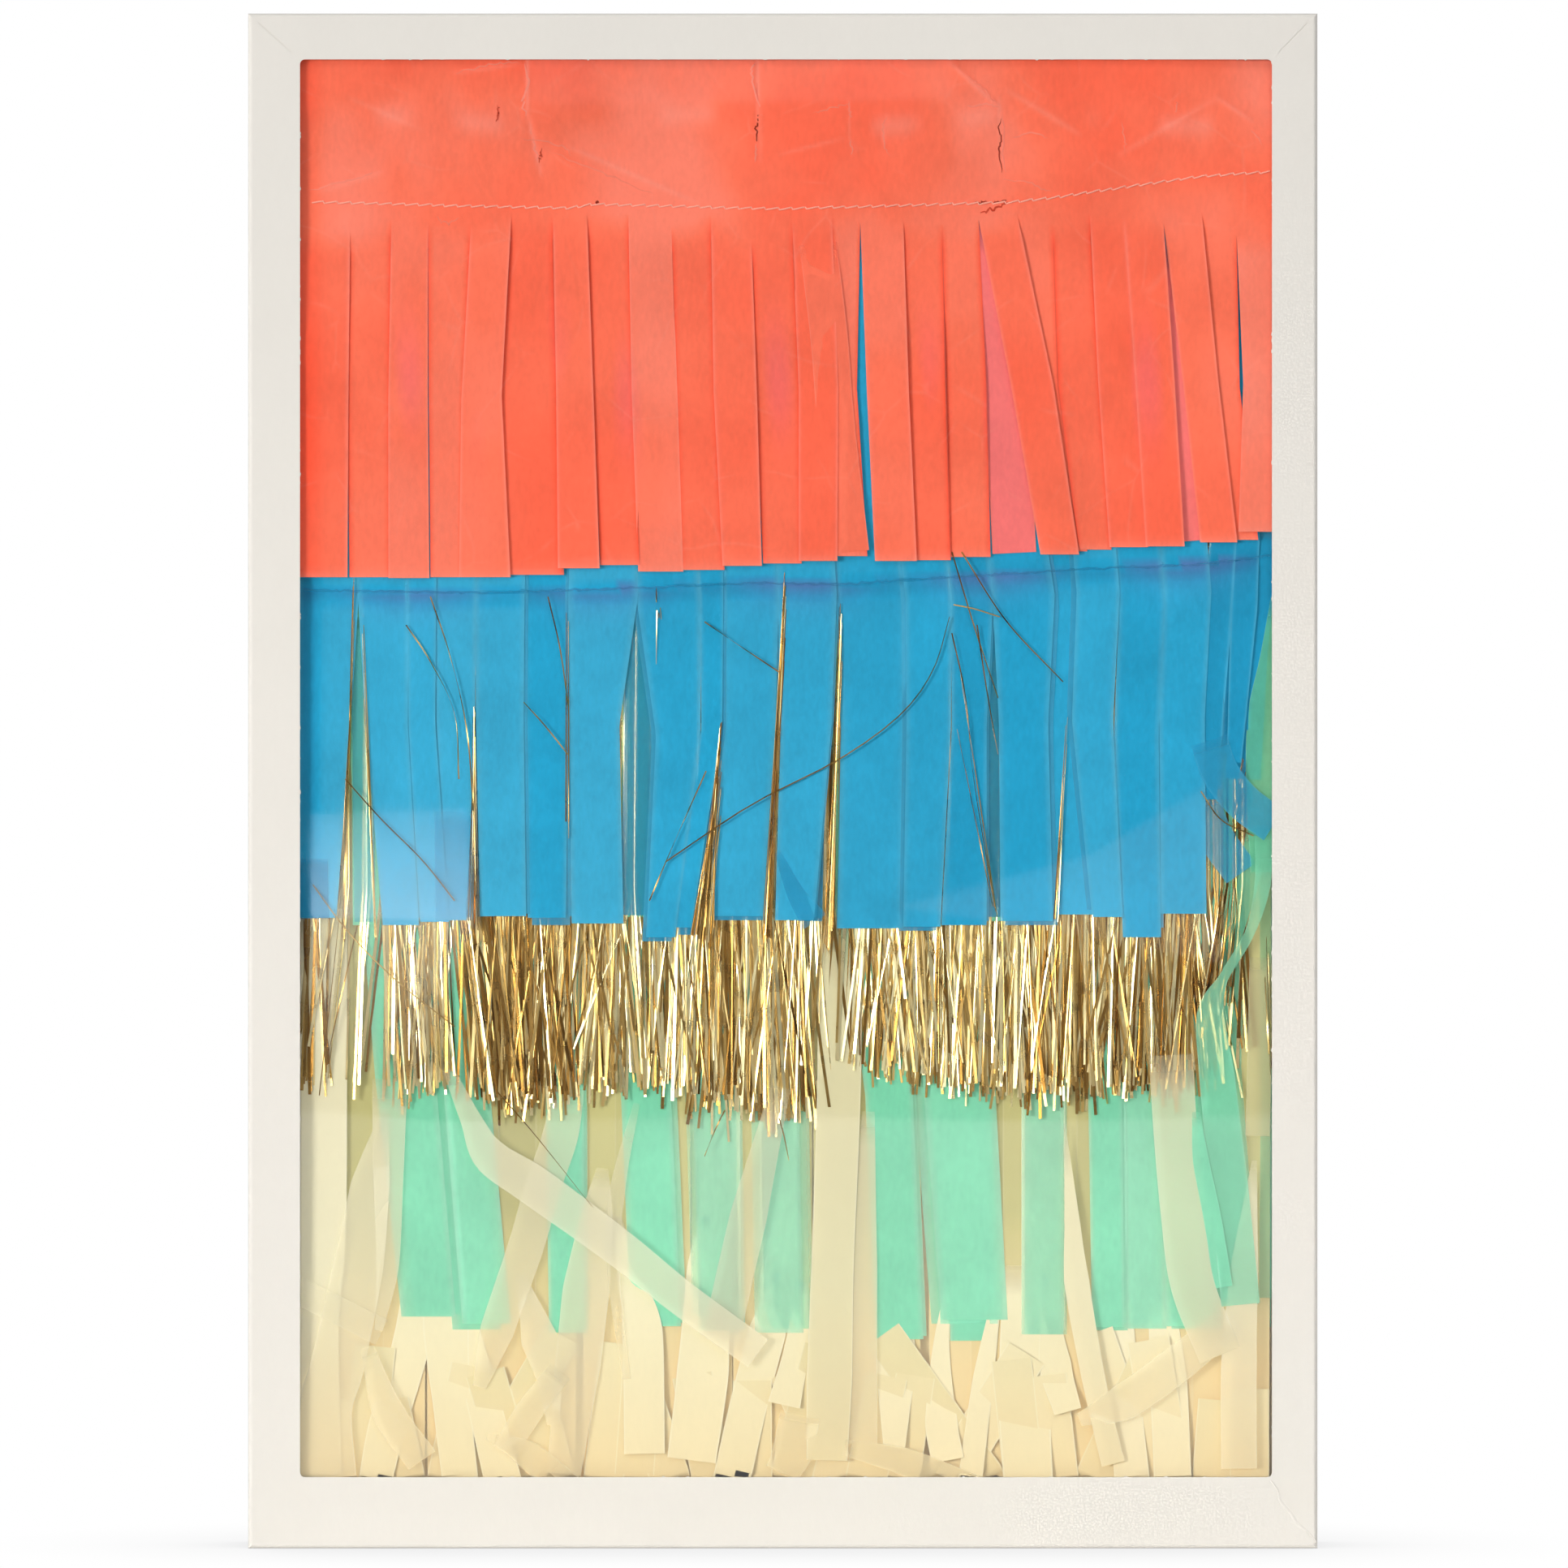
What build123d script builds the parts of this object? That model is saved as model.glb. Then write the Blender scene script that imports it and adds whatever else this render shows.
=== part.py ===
from build123d import *
import os
from math import sin

# A paper fringe garland, folded like a concertina and boxed behind a clear window.
# Millimetres. The window faces -Y, +Z is up, and the origin is the middle of the base.

# Card of the box
card = 0.6
fold_radius = 0.9
score_width = 0.25
score_depth = 0.1
tab_length = 12.0
tab_taper = 3.0
lid_clearance = 0.4
skirt_shortfall = 0.4

# Box and window, read from the photograph
box_height = 310.0
side_room = 7.8
border_left = 10.5
border_right = 9.2
border_top = 9.3
border_bottom = 14.4
window_corner_radius = 1.0

# Clear pane
pane_thickness = 0.25
pane_margin = 6.0

# Folded garland: panels of one long strip, measured from fold line to fold line
panel_count = 8
panel_width = 196.0
panel_shift = 1.5
panel_pitch = 2.55
sheet = 0.2
pane_room = 1.2
top_room = 2.5
floor_room = 3.4
edge_room = 0.3
fold_slack_deg = 34.0

# Fringe rows, each measured down from the seam
seam_drop = 34.5
head_above_seam = 12.0
back_ply_drop = 8.0
coral_length = 74.0
blue_length = 147.0
gold_length = 181.0
mint_length = 227.0
cream_length = 283.0
slit_below_seam = 3.0
hem_spread = 0.9

# The front panel lies higher in the box than the ones behind it
front_floor_lift = 11.0

# Strips and strands: the front panel shows, so it is cut finer than the ones behind it
front_strip_count = 24
rear_strip_count = 14
front_strand_count = 96
rear_strand_count = 32
strip_gap = 0.5
strand_gap = 0.7

# The front panel's seam sags in the middle and climbs to the right
seam_sag = 4.4
seam_climb = 3.0
seam_point_count = 7
thread_width = 0.45
thread_height = 0.15

# One overrun for every cut that has to pass a face
overrun = 1.0

# Layers of a panel, counted from its coral face
coral, blue, gold, mint, cream, back_ply = range(6)
panel_thickness = (back_ply + 1) * sheet
panel_gap = panel_pitch - panel_thickness
sheet_width = panel_width - 2 * edge_room

stack_depth = (panel_count - 1) * panel_pitch + panel_thickness
box_width = panel_width + 2 * (side_room + 3 * card + lid_clearance)
box_depth = 2 * card + pane_thickness + pane_room + stack_depth + thread_height
skirt_depth = box_depth - skirt_shortfall
middle_z = box_height / 2

tray_width = box_width - 4 * card - 2 * lid_clearance
tray_height = box_height - 2 * card - 2 * lid_clearance
tray_depth = box_depth - card - pane_thickness - lid_clearance

window_width = box_width - border_left - border_right
window_height = box_height - border_top - border_bottom
window_x = (border_left - border_right) / 2
window_z = (box_height + border_bottom - border_top) / 2

header_top = box_height - 2 * card - lid_clearance - top_room
header_floor = 2 * card + lid_clearance + floor_room
seam_z = header_top - seam_drop
head_top = seam_z + head_above_seam
band_height = seam_drop + back_ply_drop
stack_front = card + pane_thickness + pane_room - box_depth / 2

front_face = Plane.XZ.offset(box_depth / 2)
back_face = Plane.XZ.offset(-box_depth / 2)


def save(piece, name):
    """Labels a finished piece and writes its STEP file."""
    piece.part.label = name
    export_step(piece.part, f"parts/{name}.step")


def panel_front(panel):
    """The y of a panel's window side, where panel 1 is the one behind the window."""
    return stack_front + (panel - 1) * panel_pitch


def layer_back(panel, layer):
    """The plane of a layer's rear side, from which it is extruded towards the window.

    Odd panels show coral to the front and even ones to the back, as a concertina does.
    """
    place = layer if panel % 2 else back_ply - layer
    return Plane.XZ.offset(-(panel_front(panel) + (place + 1) * sheet))


def panel_back(panel):
    """The plane of a panel's rear side."""
    return Plane.XZ.offset(-(panel_front(panel) + panel_thickness))


def seam_lift(panel, x):
    """How far a panel's seam stands above its lowest point, at x from the panel's middle."""
    if panel > 1:
        return 0.0
    share = x / (panel_width / 2)
    return seam_sag * share**2 + seam_climb * share


def strip_count(panel):
    """How many paper strips each row of a panel is cut into."""
    return front_strip_count if panel == 1 else rear_strip_count


def cut_hems(panel, strips, length):
    """The height of every strip's cut end: they follow the seam, and differ a little."""
    pitch = sheet_width / strips
    middles = [(i + 0.5) * pitch - sheet_width / 2 for i in range(strips)]
    return [
        seam_z + seam_lift(panel, x) - length + hem_spread * sin(2.4 * i + panel)
        for i, x in enumerate(middles)
    ]


def fringe_points(panel, hems, top, gap):
    """The outline of a sheet with an uncut head and strips below it, cut apart by narrow V slits."""
    strips = len(hems)
    pitch = sheet_width / strips
    left_edge = panel_shift - sheet_width / 2
    points = [(left_edge + sheet_width, top), (left_edge, top)]
    for i, hem in enumerate(hems):
        left = left_edge + i * pitch + (gap / 2 if i else 0)
        right = left_edge + (i + 1) * pitch - (gap / 2 if i < strips - 1 else 0)
        points += [(left, hem), (right, hem)]
        if i < strips - 1:
            slit_x = left_edge + (i + 1) * pitch
            lift = seam_lift(panel, slit_x - panel_shift)
            points.append((slit_x, seam_z + lift - slit_below_seam))
    return points


def sewn_row(panel, layer, strips, length, gap):
    """One row of fringe, held in the header by its uncut head."""
    with BuildPart() as row:
        with BuildSketch(layer_back(panel, layer)):
            with BuildLine():
                hems = cut_hems(panel, strips, length)
                Polyline(*fringe_points(panel, hems, head_top, gap), close=True)
            make_face()
        extrude(amount=sheet)
    return row


def cream_row(panel):
    """The longest row: its strips turn up at the bottom and stand in front of all the others."""
    strips = strip_count(panel)
    pitch = sheet_width / strips
    floor = header_floor + (front_floor_lift if panel == 1 else 0)
    turn_up = cream_length - (seam_z - floor)
    strip_xs = [panel_shift + (i + 0.5) * pitch - sheet_width / 2 for i in range(strips)]
    with BuildPart() as row:
        with BuildSketch(layer_back(panel, cream)):
            with BuildLine():
                Polyline(*fringe_points(panel, [floor] * strips, head_top, strip_gap), close=True)
            make_face()
        extrude(amount=sheet)
        with BuildSketch(layer_back(panel, coral)):
            for i, x in enumerate(strip_xs):
                rise = turn_up + hem_spread * sin(1.7 * i + panel)
                with Locations((x, floor + rise / 2)):
                    Rectangle(pitch - 2 * strip_gap, rise)
        extrude(amount=sheet)
        with BuildSketch(layer_back(panel, cream if panel % 2 else coral)):
            for x in strip_xs:
                with Locations((x, floor + sheet / 2)):
                    Rectangle(pitch - 2 * strip_gap, sheet)
        extrude(amount=(cream - coral + 1) * sheet)
    return row


def fold_side(panel):
    """+1 where the fold from a panel to the one in front of it is on the right, -1 on the left."""
    return 1 if panel % 2 == 0 else -1


def fold_point(panel):
    """The x and y of the hinge line between a panel and the one in front of it."""
    return panel_shift + fold_side(panel) * panel_width / 2, panel_front(panel) - panel_gap / 2


def fold_plan(side):
    """The pressed fold in plan round its hinge line, open towards the panel that swings."""
    with BuildSketch() as plan:
        with BuildLine():
            reach = -side * (180 - fold_slack_deg)
            outer = CenterArc((0, 0), panel_gap / 2 + panel_thickness, 90, reach)
            inner = CenterArc((0, 0), panel_gap / 2, 90, reach)
            Line(outer @ 0, inner @ 0)
            Line(outer @ 1, inner @ 1)
        make_face()
        for y in (panel_gap + sheet) / 2, panel_gap / 2 + panel_thickness - sheet / 2:
            with Locations((-side * edge_room / 2, y)):
                Rectangle(edge_room, sheet)
    return plan.sketch


def coral_header(panel):
    """The coral sheet: header, top fold, back ply, coral strips, and the fold to the next panel."""
    with BuildPart() as header:
        with BuildSketch(layer_back(panel, coral)):
            with BuildLine():
                hems = cut_hems(panel, strip_count(panel), coral_length)
                Polyline(*fringe_points(panel, hems, header_top, strip_gap), close=True)
            make_face()
        extrude(amount=sheet)
        with BuildSketch(layer_back(panel, back_ply)):
            with Locations((panel_shift, header_top - band_height / 2)):
                Rectangle(sheet_width, band_height)
        extrude(amount=sheet)
        with BuildSketch(panel_back(panel)):
            with Locations((panel_shift, header_top - sheet / 2)):
                Rectangle(sheet_width, sheet)
        extrude(amount=panel_thickness)
        if panel > 1:
            with BuildSketch(Plane.XY.offset(header_top - band_height)):
                with Locations(fold_point(panel)):
                    add(fold_plan(fold_side(panel)))
            extrude(amount=band_height)
    return header


def seam_thread(panel):
    """Needle thread on the header's coral face and bobbin thread on its back ply."""
    half = sheet_width / 2 - edge_room
    steps = [half * (2 * i / (seam_point_count - 1) - 1) for i in range(seam_point_count)]
    line = [(panel_shift + x, seam_z + seam_lift(panel, x)) for x in steps]
    upper = [(x, z + thread_width / 2) for x, z in line]
    lower = [(x, z - thread_width / 2) for x, z in reversed(line)]
    front = Plane.XZ.offset(-panel_front(panel))
    with BuildPart() as thread:
        for plane, amount in (front, thread_height), (panel_back(panel), -thread_height):
            with BuildSketch(plane):
                with BuildLine():
                    Polyline(*upper, *lower, close=True)
                make_face()
            extrude(amount=amount)
    return thread


def glue_tabs(front_y, width, height, depth):
    """Four tabs of the end walls, each glued flat inside a side wall of a tray or lid."""
    with BuildPart() as tabs:
        for wall_x in (-width / 2, width / 2 - card):
            with BuildSketch(Plane.YZ.offset(wall_x)):
                for end in (-1, 1):
                    foot = middle_z + end * height / 2
                    shoulder = foot - end * (tab_length - tab_taper)
                    tip = foot - end * tab_length
                    with BuildLine():
                        Polyline(
                            (front_y, foot),
                            (front_y, shoulder),
                            (front_y + tab_taper, tip),
                            (front_y + depth - tab_taper, tip),
                            (front_y + depth, shoulder),
                            (front_y + depth, foot),
                            close=True,
                        )
                    make_face()
            extrude(amount=card)
    return tabs


def mitre_scores():
    """Scored lines in X and Z, from each corner of the window to the corner of the box."""
    with BuildSketch() as scores:
        for side, border in (-1, border_left), (1, border_right):
            for end, margin in (-1, border_bottom), (1, border_top):
                corner = Vector(side * box_width / 2, middle_z + end * box_height / 2)
                run = Vector(side * border, end * margin)
                along = run.normalized()
                across = Vector(-along.Y, along.X) * (score_width / 2)
                start = corner - run + along * (2 * window_corner_radius)
                stop = corner - along * (3 * fold_radius)
                with BuildLine():
                    Polyline(
                        start + across, stop + across, stop - across, start - across, close=True
                    )
                make_face()
    return scores.sketch


os.makedirs("parts", exist_ok=True)

# Lid: a border round the window, and four walls glued at the corners
lid_inside = box_width - 2 * card, box_height - 2 * card
lid_tabs = glue_tabs(card - box_depth / 2, *lid_inside, skirt_depth - card)
with BuildPart() as lid_card:
    with BuildSketch(front_face):
        with Locations((0, middle_z)):
            Rectangle(box_width, box_height)
    extrude(amount=-skirt_depth)
    fillet(lid_card.faces().sort_by(Axis.Y)[0].edges(), fold_radius)
    with BuildSketch(front_face.offset(-card)):
        with Locations((0, middle_z)):
            Rectangle(*lid_inside)
    extrude(amount=-skirt_depth, mode=Mode.SUBTRACT)
    with BuildSketch(front_face.offset(overrun)):
        with Locations((window_x, window_z)):
            RectangleRounded(window_width, window_height, window_corner_radius)
    extrude(amount=-(card + 2 * overrun), mode=Mode.SUBTRACT)
    add(lid_tabs.part)
    with BuildSketch(front_face):
        add(mitre_scores())
    extrude(amount=-score_depth, mode=Mode.SUBTRACT)
save(lid_card, "lid_card")

# Clear pane, glued behind the border
with BuildPart() as window_pane:
    with BuildSketch(front_face.offset(-card)):
        with Locations((window_x, window_z)):
            Rectangle(window_width + 2 * pane_margin, window_height + 2 * pane_margin)
    extrude(amount=-pane_thickness)
save(window_pane, "window_pane")

# Tray: a back and four walls glued at the corners, which the lid slides over
tray_inside = tray_width - 2 * card, tray_height - 2 * card
tray_tabs = glue_tabs(box_depth / 2 - tray_depth, *tray_inside, tray_depth - card)
with BuildPart() as tray_card:
    with BuildSketch(back_face):
        with Locations((0, middle_z)):
            Rectangle(tray_width, tray_height)
    extrude(amount=tray_depth)
    fillet(tray_card.faces().sort_by(Axis.Y)[-1].edges(), fold_radius)
    with BuildSketch(back_face.offset(card)):
        with Locations((0, middle_z)):
            Rectangle(*tray_inside)
    extrude(amount=tray_depth, mode=Mode.SUBTRACT)
    add(tray_tabs.part)
save(tray_card, "tray_card")

# The panels, each with its header, its rows of fringe and its sewing thread
for panel in range(1, panel_count + 1):
    strips = strip_count(panel)
    strands = front_strand_count if panel == 1 else rear_strand_count
    save(coral_header(panel), f"coral_header_{panel}")
    save(sewn_row(panel, blue, strips, blue_length, strip_gap), f"blue_fringe_{panel}")
    save(sewn_row(panel, gold, strands, gold_length, strand_gap), f"gold_fringe_{panel}")
    save(sewn_row(panel, mint, strips, mint_length, strip_gap), f"mint_fringe_{panel}")
    save(cream_row(panel), f"cream_fringe_{panel}")
    save(seam_thread(panel), f"seam_thread_{panel}")
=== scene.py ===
"""Looks of a paper fringe garland in its windowed box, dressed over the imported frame.

Metres. The window faces -Y, +Z is up, and the origin is the middle of the base.
"""

import logging
import math
from collections.abc import Callable, Sequence
from dataclasses import dataclass, field, replace
from enum import Enum

import bpy
import numpy as np
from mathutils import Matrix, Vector


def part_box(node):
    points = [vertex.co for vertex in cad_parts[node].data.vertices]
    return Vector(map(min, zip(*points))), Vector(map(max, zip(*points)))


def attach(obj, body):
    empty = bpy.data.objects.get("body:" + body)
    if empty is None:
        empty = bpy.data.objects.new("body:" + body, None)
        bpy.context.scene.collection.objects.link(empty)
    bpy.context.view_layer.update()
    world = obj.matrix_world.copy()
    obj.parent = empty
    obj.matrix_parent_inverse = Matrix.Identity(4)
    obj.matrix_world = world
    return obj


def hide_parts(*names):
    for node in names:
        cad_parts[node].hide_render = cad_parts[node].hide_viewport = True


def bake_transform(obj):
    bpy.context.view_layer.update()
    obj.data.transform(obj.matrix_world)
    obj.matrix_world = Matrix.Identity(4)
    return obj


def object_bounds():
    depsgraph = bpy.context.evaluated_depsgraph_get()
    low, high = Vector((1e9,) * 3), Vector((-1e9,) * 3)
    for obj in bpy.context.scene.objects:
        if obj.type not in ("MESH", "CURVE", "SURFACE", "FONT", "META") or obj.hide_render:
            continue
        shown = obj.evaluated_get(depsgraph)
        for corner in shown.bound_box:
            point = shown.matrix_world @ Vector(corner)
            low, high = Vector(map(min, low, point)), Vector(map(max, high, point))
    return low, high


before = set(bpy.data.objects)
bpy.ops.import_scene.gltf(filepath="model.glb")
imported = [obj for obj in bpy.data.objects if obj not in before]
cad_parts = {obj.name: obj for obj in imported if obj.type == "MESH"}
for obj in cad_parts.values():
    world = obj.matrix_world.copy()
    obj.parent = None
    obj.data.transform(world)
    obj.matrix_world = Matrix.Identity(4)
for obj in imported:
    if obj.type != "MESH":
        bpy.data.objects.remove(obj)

CAD_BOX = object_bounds()
MM = 0.001
SHARP_EDGE = math.radians(40)
Array = np.ndarray
Relief = Callable[[Array, Array, Array, Array, Array], Array]
Colour = tuple[float, float, float]
log = logging.getLogger("garland")


@dataclass(frozen=True)
class Photo:
    """Turns places in the photograph into metres of the frame."""

    metres_per_px: float = 0.00016388
    middle_px: float = 964.5
    base_py: float = 1908.0
    side_px: int = 1932

    def x(self, px: float | Sequence[float] | Array) -> Array:
        """X of a pixel column, in metres."""
        return (np.asarray(px, float) - self.middle_px) * self.metres_per_px

    def z(self, py: float | Sequence[float] | Array) -> Array:
        """Z of a pixel row, in metres."""
        return (self.base_py - np.asarray(py, float)) * self.metres_per_px

    def span(self, pixels: float | Array) -> float | Array:
        """Length of a number of pixels, in metres."""
        return pixels * self.metres_per_px


PHOTO = Photo()


class Layer(Enum):
    """Rows of a panel, counted from its coral face."""

    CORAL = 0
    BLUE = 1
    GOLD = 2
    MINT = 3
    CREAM = 4
    BACK_PLY = 5


class Side(Enum):
    """Which side a fold or an edge is on."""

    LEFT = -1
    RIGHT = 1


@dataclass
class Surface:
    """Points and quads of a piece, with named values on its points."""

    points: Array
    quads: Array
    marks: dict[str, Array] = field(default_factory=dict)

    def marked(self, **values: float | Array) -> "Surface":
        """Adds values on every point.

        Args:
            values: by attribute name, one number for all points or one for each.

        Returns:
            The surface itself.
        """
        for name, value in values.items():
            self.marks[name] = np.broadcast_to(np.asarray(value, float), len(self.points)).copy()
        return self

    @staticmethod
    def joined(parts: Sequence["Surface"]) -> "Surface":
        """Lays several surfaces into one.

        Args:
            parts: the surfaces.

        Returns:
            One surface with all points and quads, and the marks that all of them carry.
        """
        starts = np.cumsum([0] + [len(part.points) for part in parts[:-1]])
        quads = np.concatenate([part.quads + start for part, start in zip(parts, starts)])
        points = np.concatenate([part.points for part in parts])
        names = [name for name in parts[0].marks if all(name in part.marks for part in parts)]
        marks = {name: np.concatenate([part.marks[name] for part in parts]) for name in names}
        return Surface(points, quads, marks)

    def normals(self) -> Array:
        """Unit normal at every point: the sum of its quads' diagonal cross products.

        Returns:
            One vector for each point.
        """
        a, b, c, d = (self.points[self.quads[:, i]] for i in range(4))
        cross = np.cross(c - a, d - b)
        total = np.zeros_like(self.points)
        for corner in range(4):
            np.add.at(total, self.quads[:, corner], cross)
        length = np.linalg.norm(total, axis=1, keepdims=True)
        return total / np.maximum(length, 1e-12)

    def thickened(self, thickness: float) -> "Surface":
        """Gives an open sheet a body.

        Each point goes half the thickness to both sides along its normal, and every edge
        that belongs to one quad alone gets a rim.

        Args:
            thickness: of the sheet, in metres.

        Returns:
            A closed surface.
        """
        count = len(self.points)
        shift = self.normals() * thickness / 2
        points = np.concatenate([self.points + shift, self.points - shift])
        starts = self.quads.ravel()
        ends = np.roll(self.quads, -1, axis=1).ravel()
        keys = np.minimum(starts, ends).astype(np.int64) * count + np.maximum(starts, ends)
        _, place, uses = np.unique(keys, return_inverse=True, return_counts=True)
        alone = uses[place] == 1
        a, b = starts[alone], ends[alone]
        rim = np.stack([b, a, a + count, b + count], axis=1)
        quads = np.concatenate([self.quads, self.quads[:, ::-1] + count, rim])
        marks = {name: np.tile(values, 2) for name, values in self.marks.items()}
        return Surface(points, quads, marks)

    def to_object(self, name: str, material: bpy.types.Material) -> bpy.types.Object:
        """Writes the surface into a new object at the origin.

        Args:
            name: of the object and its mesh.
            material: of all its faces.

        Returns:
            The object, linked to the scene.
        """
        mesh = bpy.data.meshes.new(name)
        mesh.vertices.add(len(self.points))
        mesh.vertices.foreach_set("co", self.points.astype(np.float32).ravel())
        mesh.loops.add(self.quads.size)
        mesh.loops.foreach_set("vertex_index", self.quads.astype(np.int32).ravel())
        mesh.polygons.add(len(self.quads))
        mesh.polygons.foreach_set("loop_start", np.arange(0, self.quads.size, 4, dtype=np.int32))
        mesh.update(calc_edges=True)
        mesh.polygons.foreach_set("use_smooth", np.ones(len(self.quads), bool))
        mesh.set_sharp_from_angle(angle=SHARP_EDGE)
        for mark, values in self.marks.items():
            attribute = mesh.attributes.new(mark, "FLOAT", "POINT")
            attribute.data.foreach_set("value", values.astype(np.float32))
        mesh.materials.append(material)
        piece = bpy.data.objects.new(name, mesh)
        bpy.context.scene.collection.objects.link(piece)
        return piece


def quads_of(index: Array) -> Array:
    """Joins neighbours of a grid of point numbers into quads that face -Y.

    Args:
        index: point numbers, rows going down and columns to the right in the last two axes.

    Returns:
        One row of four point numbers for each quad.
    """
    corners = index[..., :-1, :-1], index[..., 1:, :-1], index[..., 1:, 1:], index[..., :-1, 1:]
    return np.stack(corners, axis=-1).reshape(-1, 4)


def xyz(x: Array | float, y: Array | float, z: Array | float) -> Array:
    """Points from coordinates whose shapes match or spread to one another."""
    return np.stack(np.broadcast_arrays(x, y, z), axis=-1)


def grid_surface(points: Array) -> Surface:
    """Makes a surface of one or more grids of points.

    Args:
        points: an array whose last three axes are rows, columns and x, y, z.

    Returns:
        The surface, without marks.
    """
    index = np.arange(points[..., 0].size).reshape(points.shape[:-1])
    return Surface(points.reshape(-1, 3), quads_of(index))


def smooth_path(points: Sequence[Sequence[float]], count: int) -> Array:
    """A curve through points: between two of them, a cubic whose slopes follow their neighbours.

    Args:
        points: the places it passes, each x, y, z.
        count: how many places to return, ends included.

    Returns:
        An array of count rows.
    """
    knots = np.asarray(points, float)
    padded = np.vstack([2 * knots[0] - knots[1], knots, 2 * knots[-1] - knots[-2]])
    along = np.linspace(0, len(knots) - 1, count)
    span = np.minimum(along.astype(int), len(knots) - 2)
    t = (along - span)[:, None]
    p0, p1, p2, p3 = (padded[span + i] for i in range(4))
    slope1, slope2 = (p2 - p0) / 2, (p3 - p1) / 2
    rise = p1 + t * slope1 + t**2 * (3 * (p2 - p1) - 2 * slope1 - slope2)
    return rise + t**3 * (2 * (p1 - p2) + slope1 + slope2)


def photo_path(places: Sequence[Sequence[float]], count: int, y: float = 0.0) -> Array:
    """A smooth run through places of the photograph.

    Args:
        places: pixel column and row of each.
        count: how many points to return, ends included.
        y: of all of them.

    Returns:
        An array of count rows of x, y, z.
    """
    px, py = np.array(places, float).T
    return smooth_path(xyz(PHOTO.x(px), y, PHOTO.z(py)), count)


def across_path(path: Array, twist: Array | float = 0.0) -> Array:
    """Unit vectors across flat ribbons: square to the run in the panel's plane, then twisted.

    Args:
        path: ribbons, places and x, y, z.
        twist: turn about the ribbon's own run, in radians.

    Returns:
        One vector for each place, to the right for a ribbon that runs down.
    """
    run = np.gradient(path, axis=-2)
    run /= np.maximum(np.linalg.norm(run, axis=-1, keepdims=True), 1e-12)
    flat = xyz(-run[..., 2], 0.0, run[..., 0])
    flat /= np.maximum(np.linalg.norm(flat, axis=-1, keepdims=True), 1e-12)
    turn = np.broadcast_to(twist, path.shape[:-1])[..., None]
    return flat * np.cos(turn) + np.cross(run, flat) * np.sin(turn)


SEWN_ROW = 262.0
HIDDEN_SIDES = (378, 1569)
PANEL_SIDES = (367.0, 1570.5)
RIM_STEPS = (-1.0, -0.93, 0.0, 0.93, 1.0)
# The cut sides of a strip, which are made paler as painted highlight.
RIM = np.array([1.0, 0.0, 0.0, 0.0, 1.0])


def ribbon_surface(path: Array, across: Array, steps: Sequence[float] = (-1.0, 1.0)) -> Surface:
    """Flat ribbons: each place of the path is carried sideways along its across vector.

    Args:
        path: ribbons, places and x, y, z.
        across: half widths as vectors, one for each place.
        steps: where the points across a ribbon lie, from -1 to 1.

    Returns:
        The surface of all the ribbons.
    """
    return grid_surface(path[..., None, :] + across[..., None, :] * np.asarray(steps)[:, None])


def tube_surface(path: Array, radius: float, sides: int) -> Surface:
    """A closed tube: a ring round each place of the path, shrunk to nothing at both ends.

    Args:
        path: places and x, y, z, not running along +Y or -Y.
        radius: of the tube.
        sides: of a ring.

    Returns:
        The tube's surface.
    """
    run = np.gradient(path, axis=0)
    run /= np.linalg.norm(run, axis=1, keepdims=True)
    side = np.cross(run, (0.0, 1.0, 0.0))
    side /= np.linalg.norm(side, axis=1, keepdims=True)
    up = np.cross(run, side)
    angle = np.linspace(0, 2 * math.pi, sides, endpoint=False)[:, None]
    reach = np.full(len(path), radius)
    reach[[0, -1]] = radius * 0.05
    ring = side[:, None] * np.cos(angle) + up[:, None] * np.sin(angle)
    points = path[:, None] + ring * reach[:, None, None]
    index = np.arange(points[..., 0].size).reshape(points.shape[:2])
    quads = quads_of(np.concatenate([index, index[:, :1]], axis=1))
    half = sides // 2
    ladder = np.stack([index[:, :half], index[:, ::-1][:, :half]], axis=-1)
    first = quads_of(ladder[0])[:, ::-1]
    last = quads_of(ladder[-1])
    return Surface(points.reshape(-1, 3), np.concatenate([quads, first, last]))


def creases(
    x: Array, z: Array, rng: np.random.Generator, size: float, depth: float, folds: int = 9
) -> Array:
    """Crumple of handled paper: a sum of folded waves, each a zigzag in its own direction.

    Args:
        x, z: places on the sheet.
        rng: where directions, wavelengths and phases are drawn from.
        size: usual wavelength.
        depth: about how far the sheet stands off its plane.
        folds: how many waves are summed.

    Returns:
        Height of the crumple at each place, about zero on average.
    """
    total = np.zeros(np.broadcast(x, z).shape)
    for _ in range(folds):
        angle = rng.uniform(0, math.pi)
        wave = size * rng.uniform(0.5, 1.7)
        phase = rng.uniform(0, 1)
        drift = rng.uniform(0.1, 0.3) * np.sin((x * 0.7 + z) / (wave * 0.9) + 6 * phase)
        along = (x * math.cos(angle) + z * math.sin(angle)) / wave + phase + drift
        zigzag = 2 * np.abs(along - np.floor(along + 0.5)) - 0.5
        total += zigzag * wave / size
    return total * depth / math.sqrt(folds)


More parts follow.
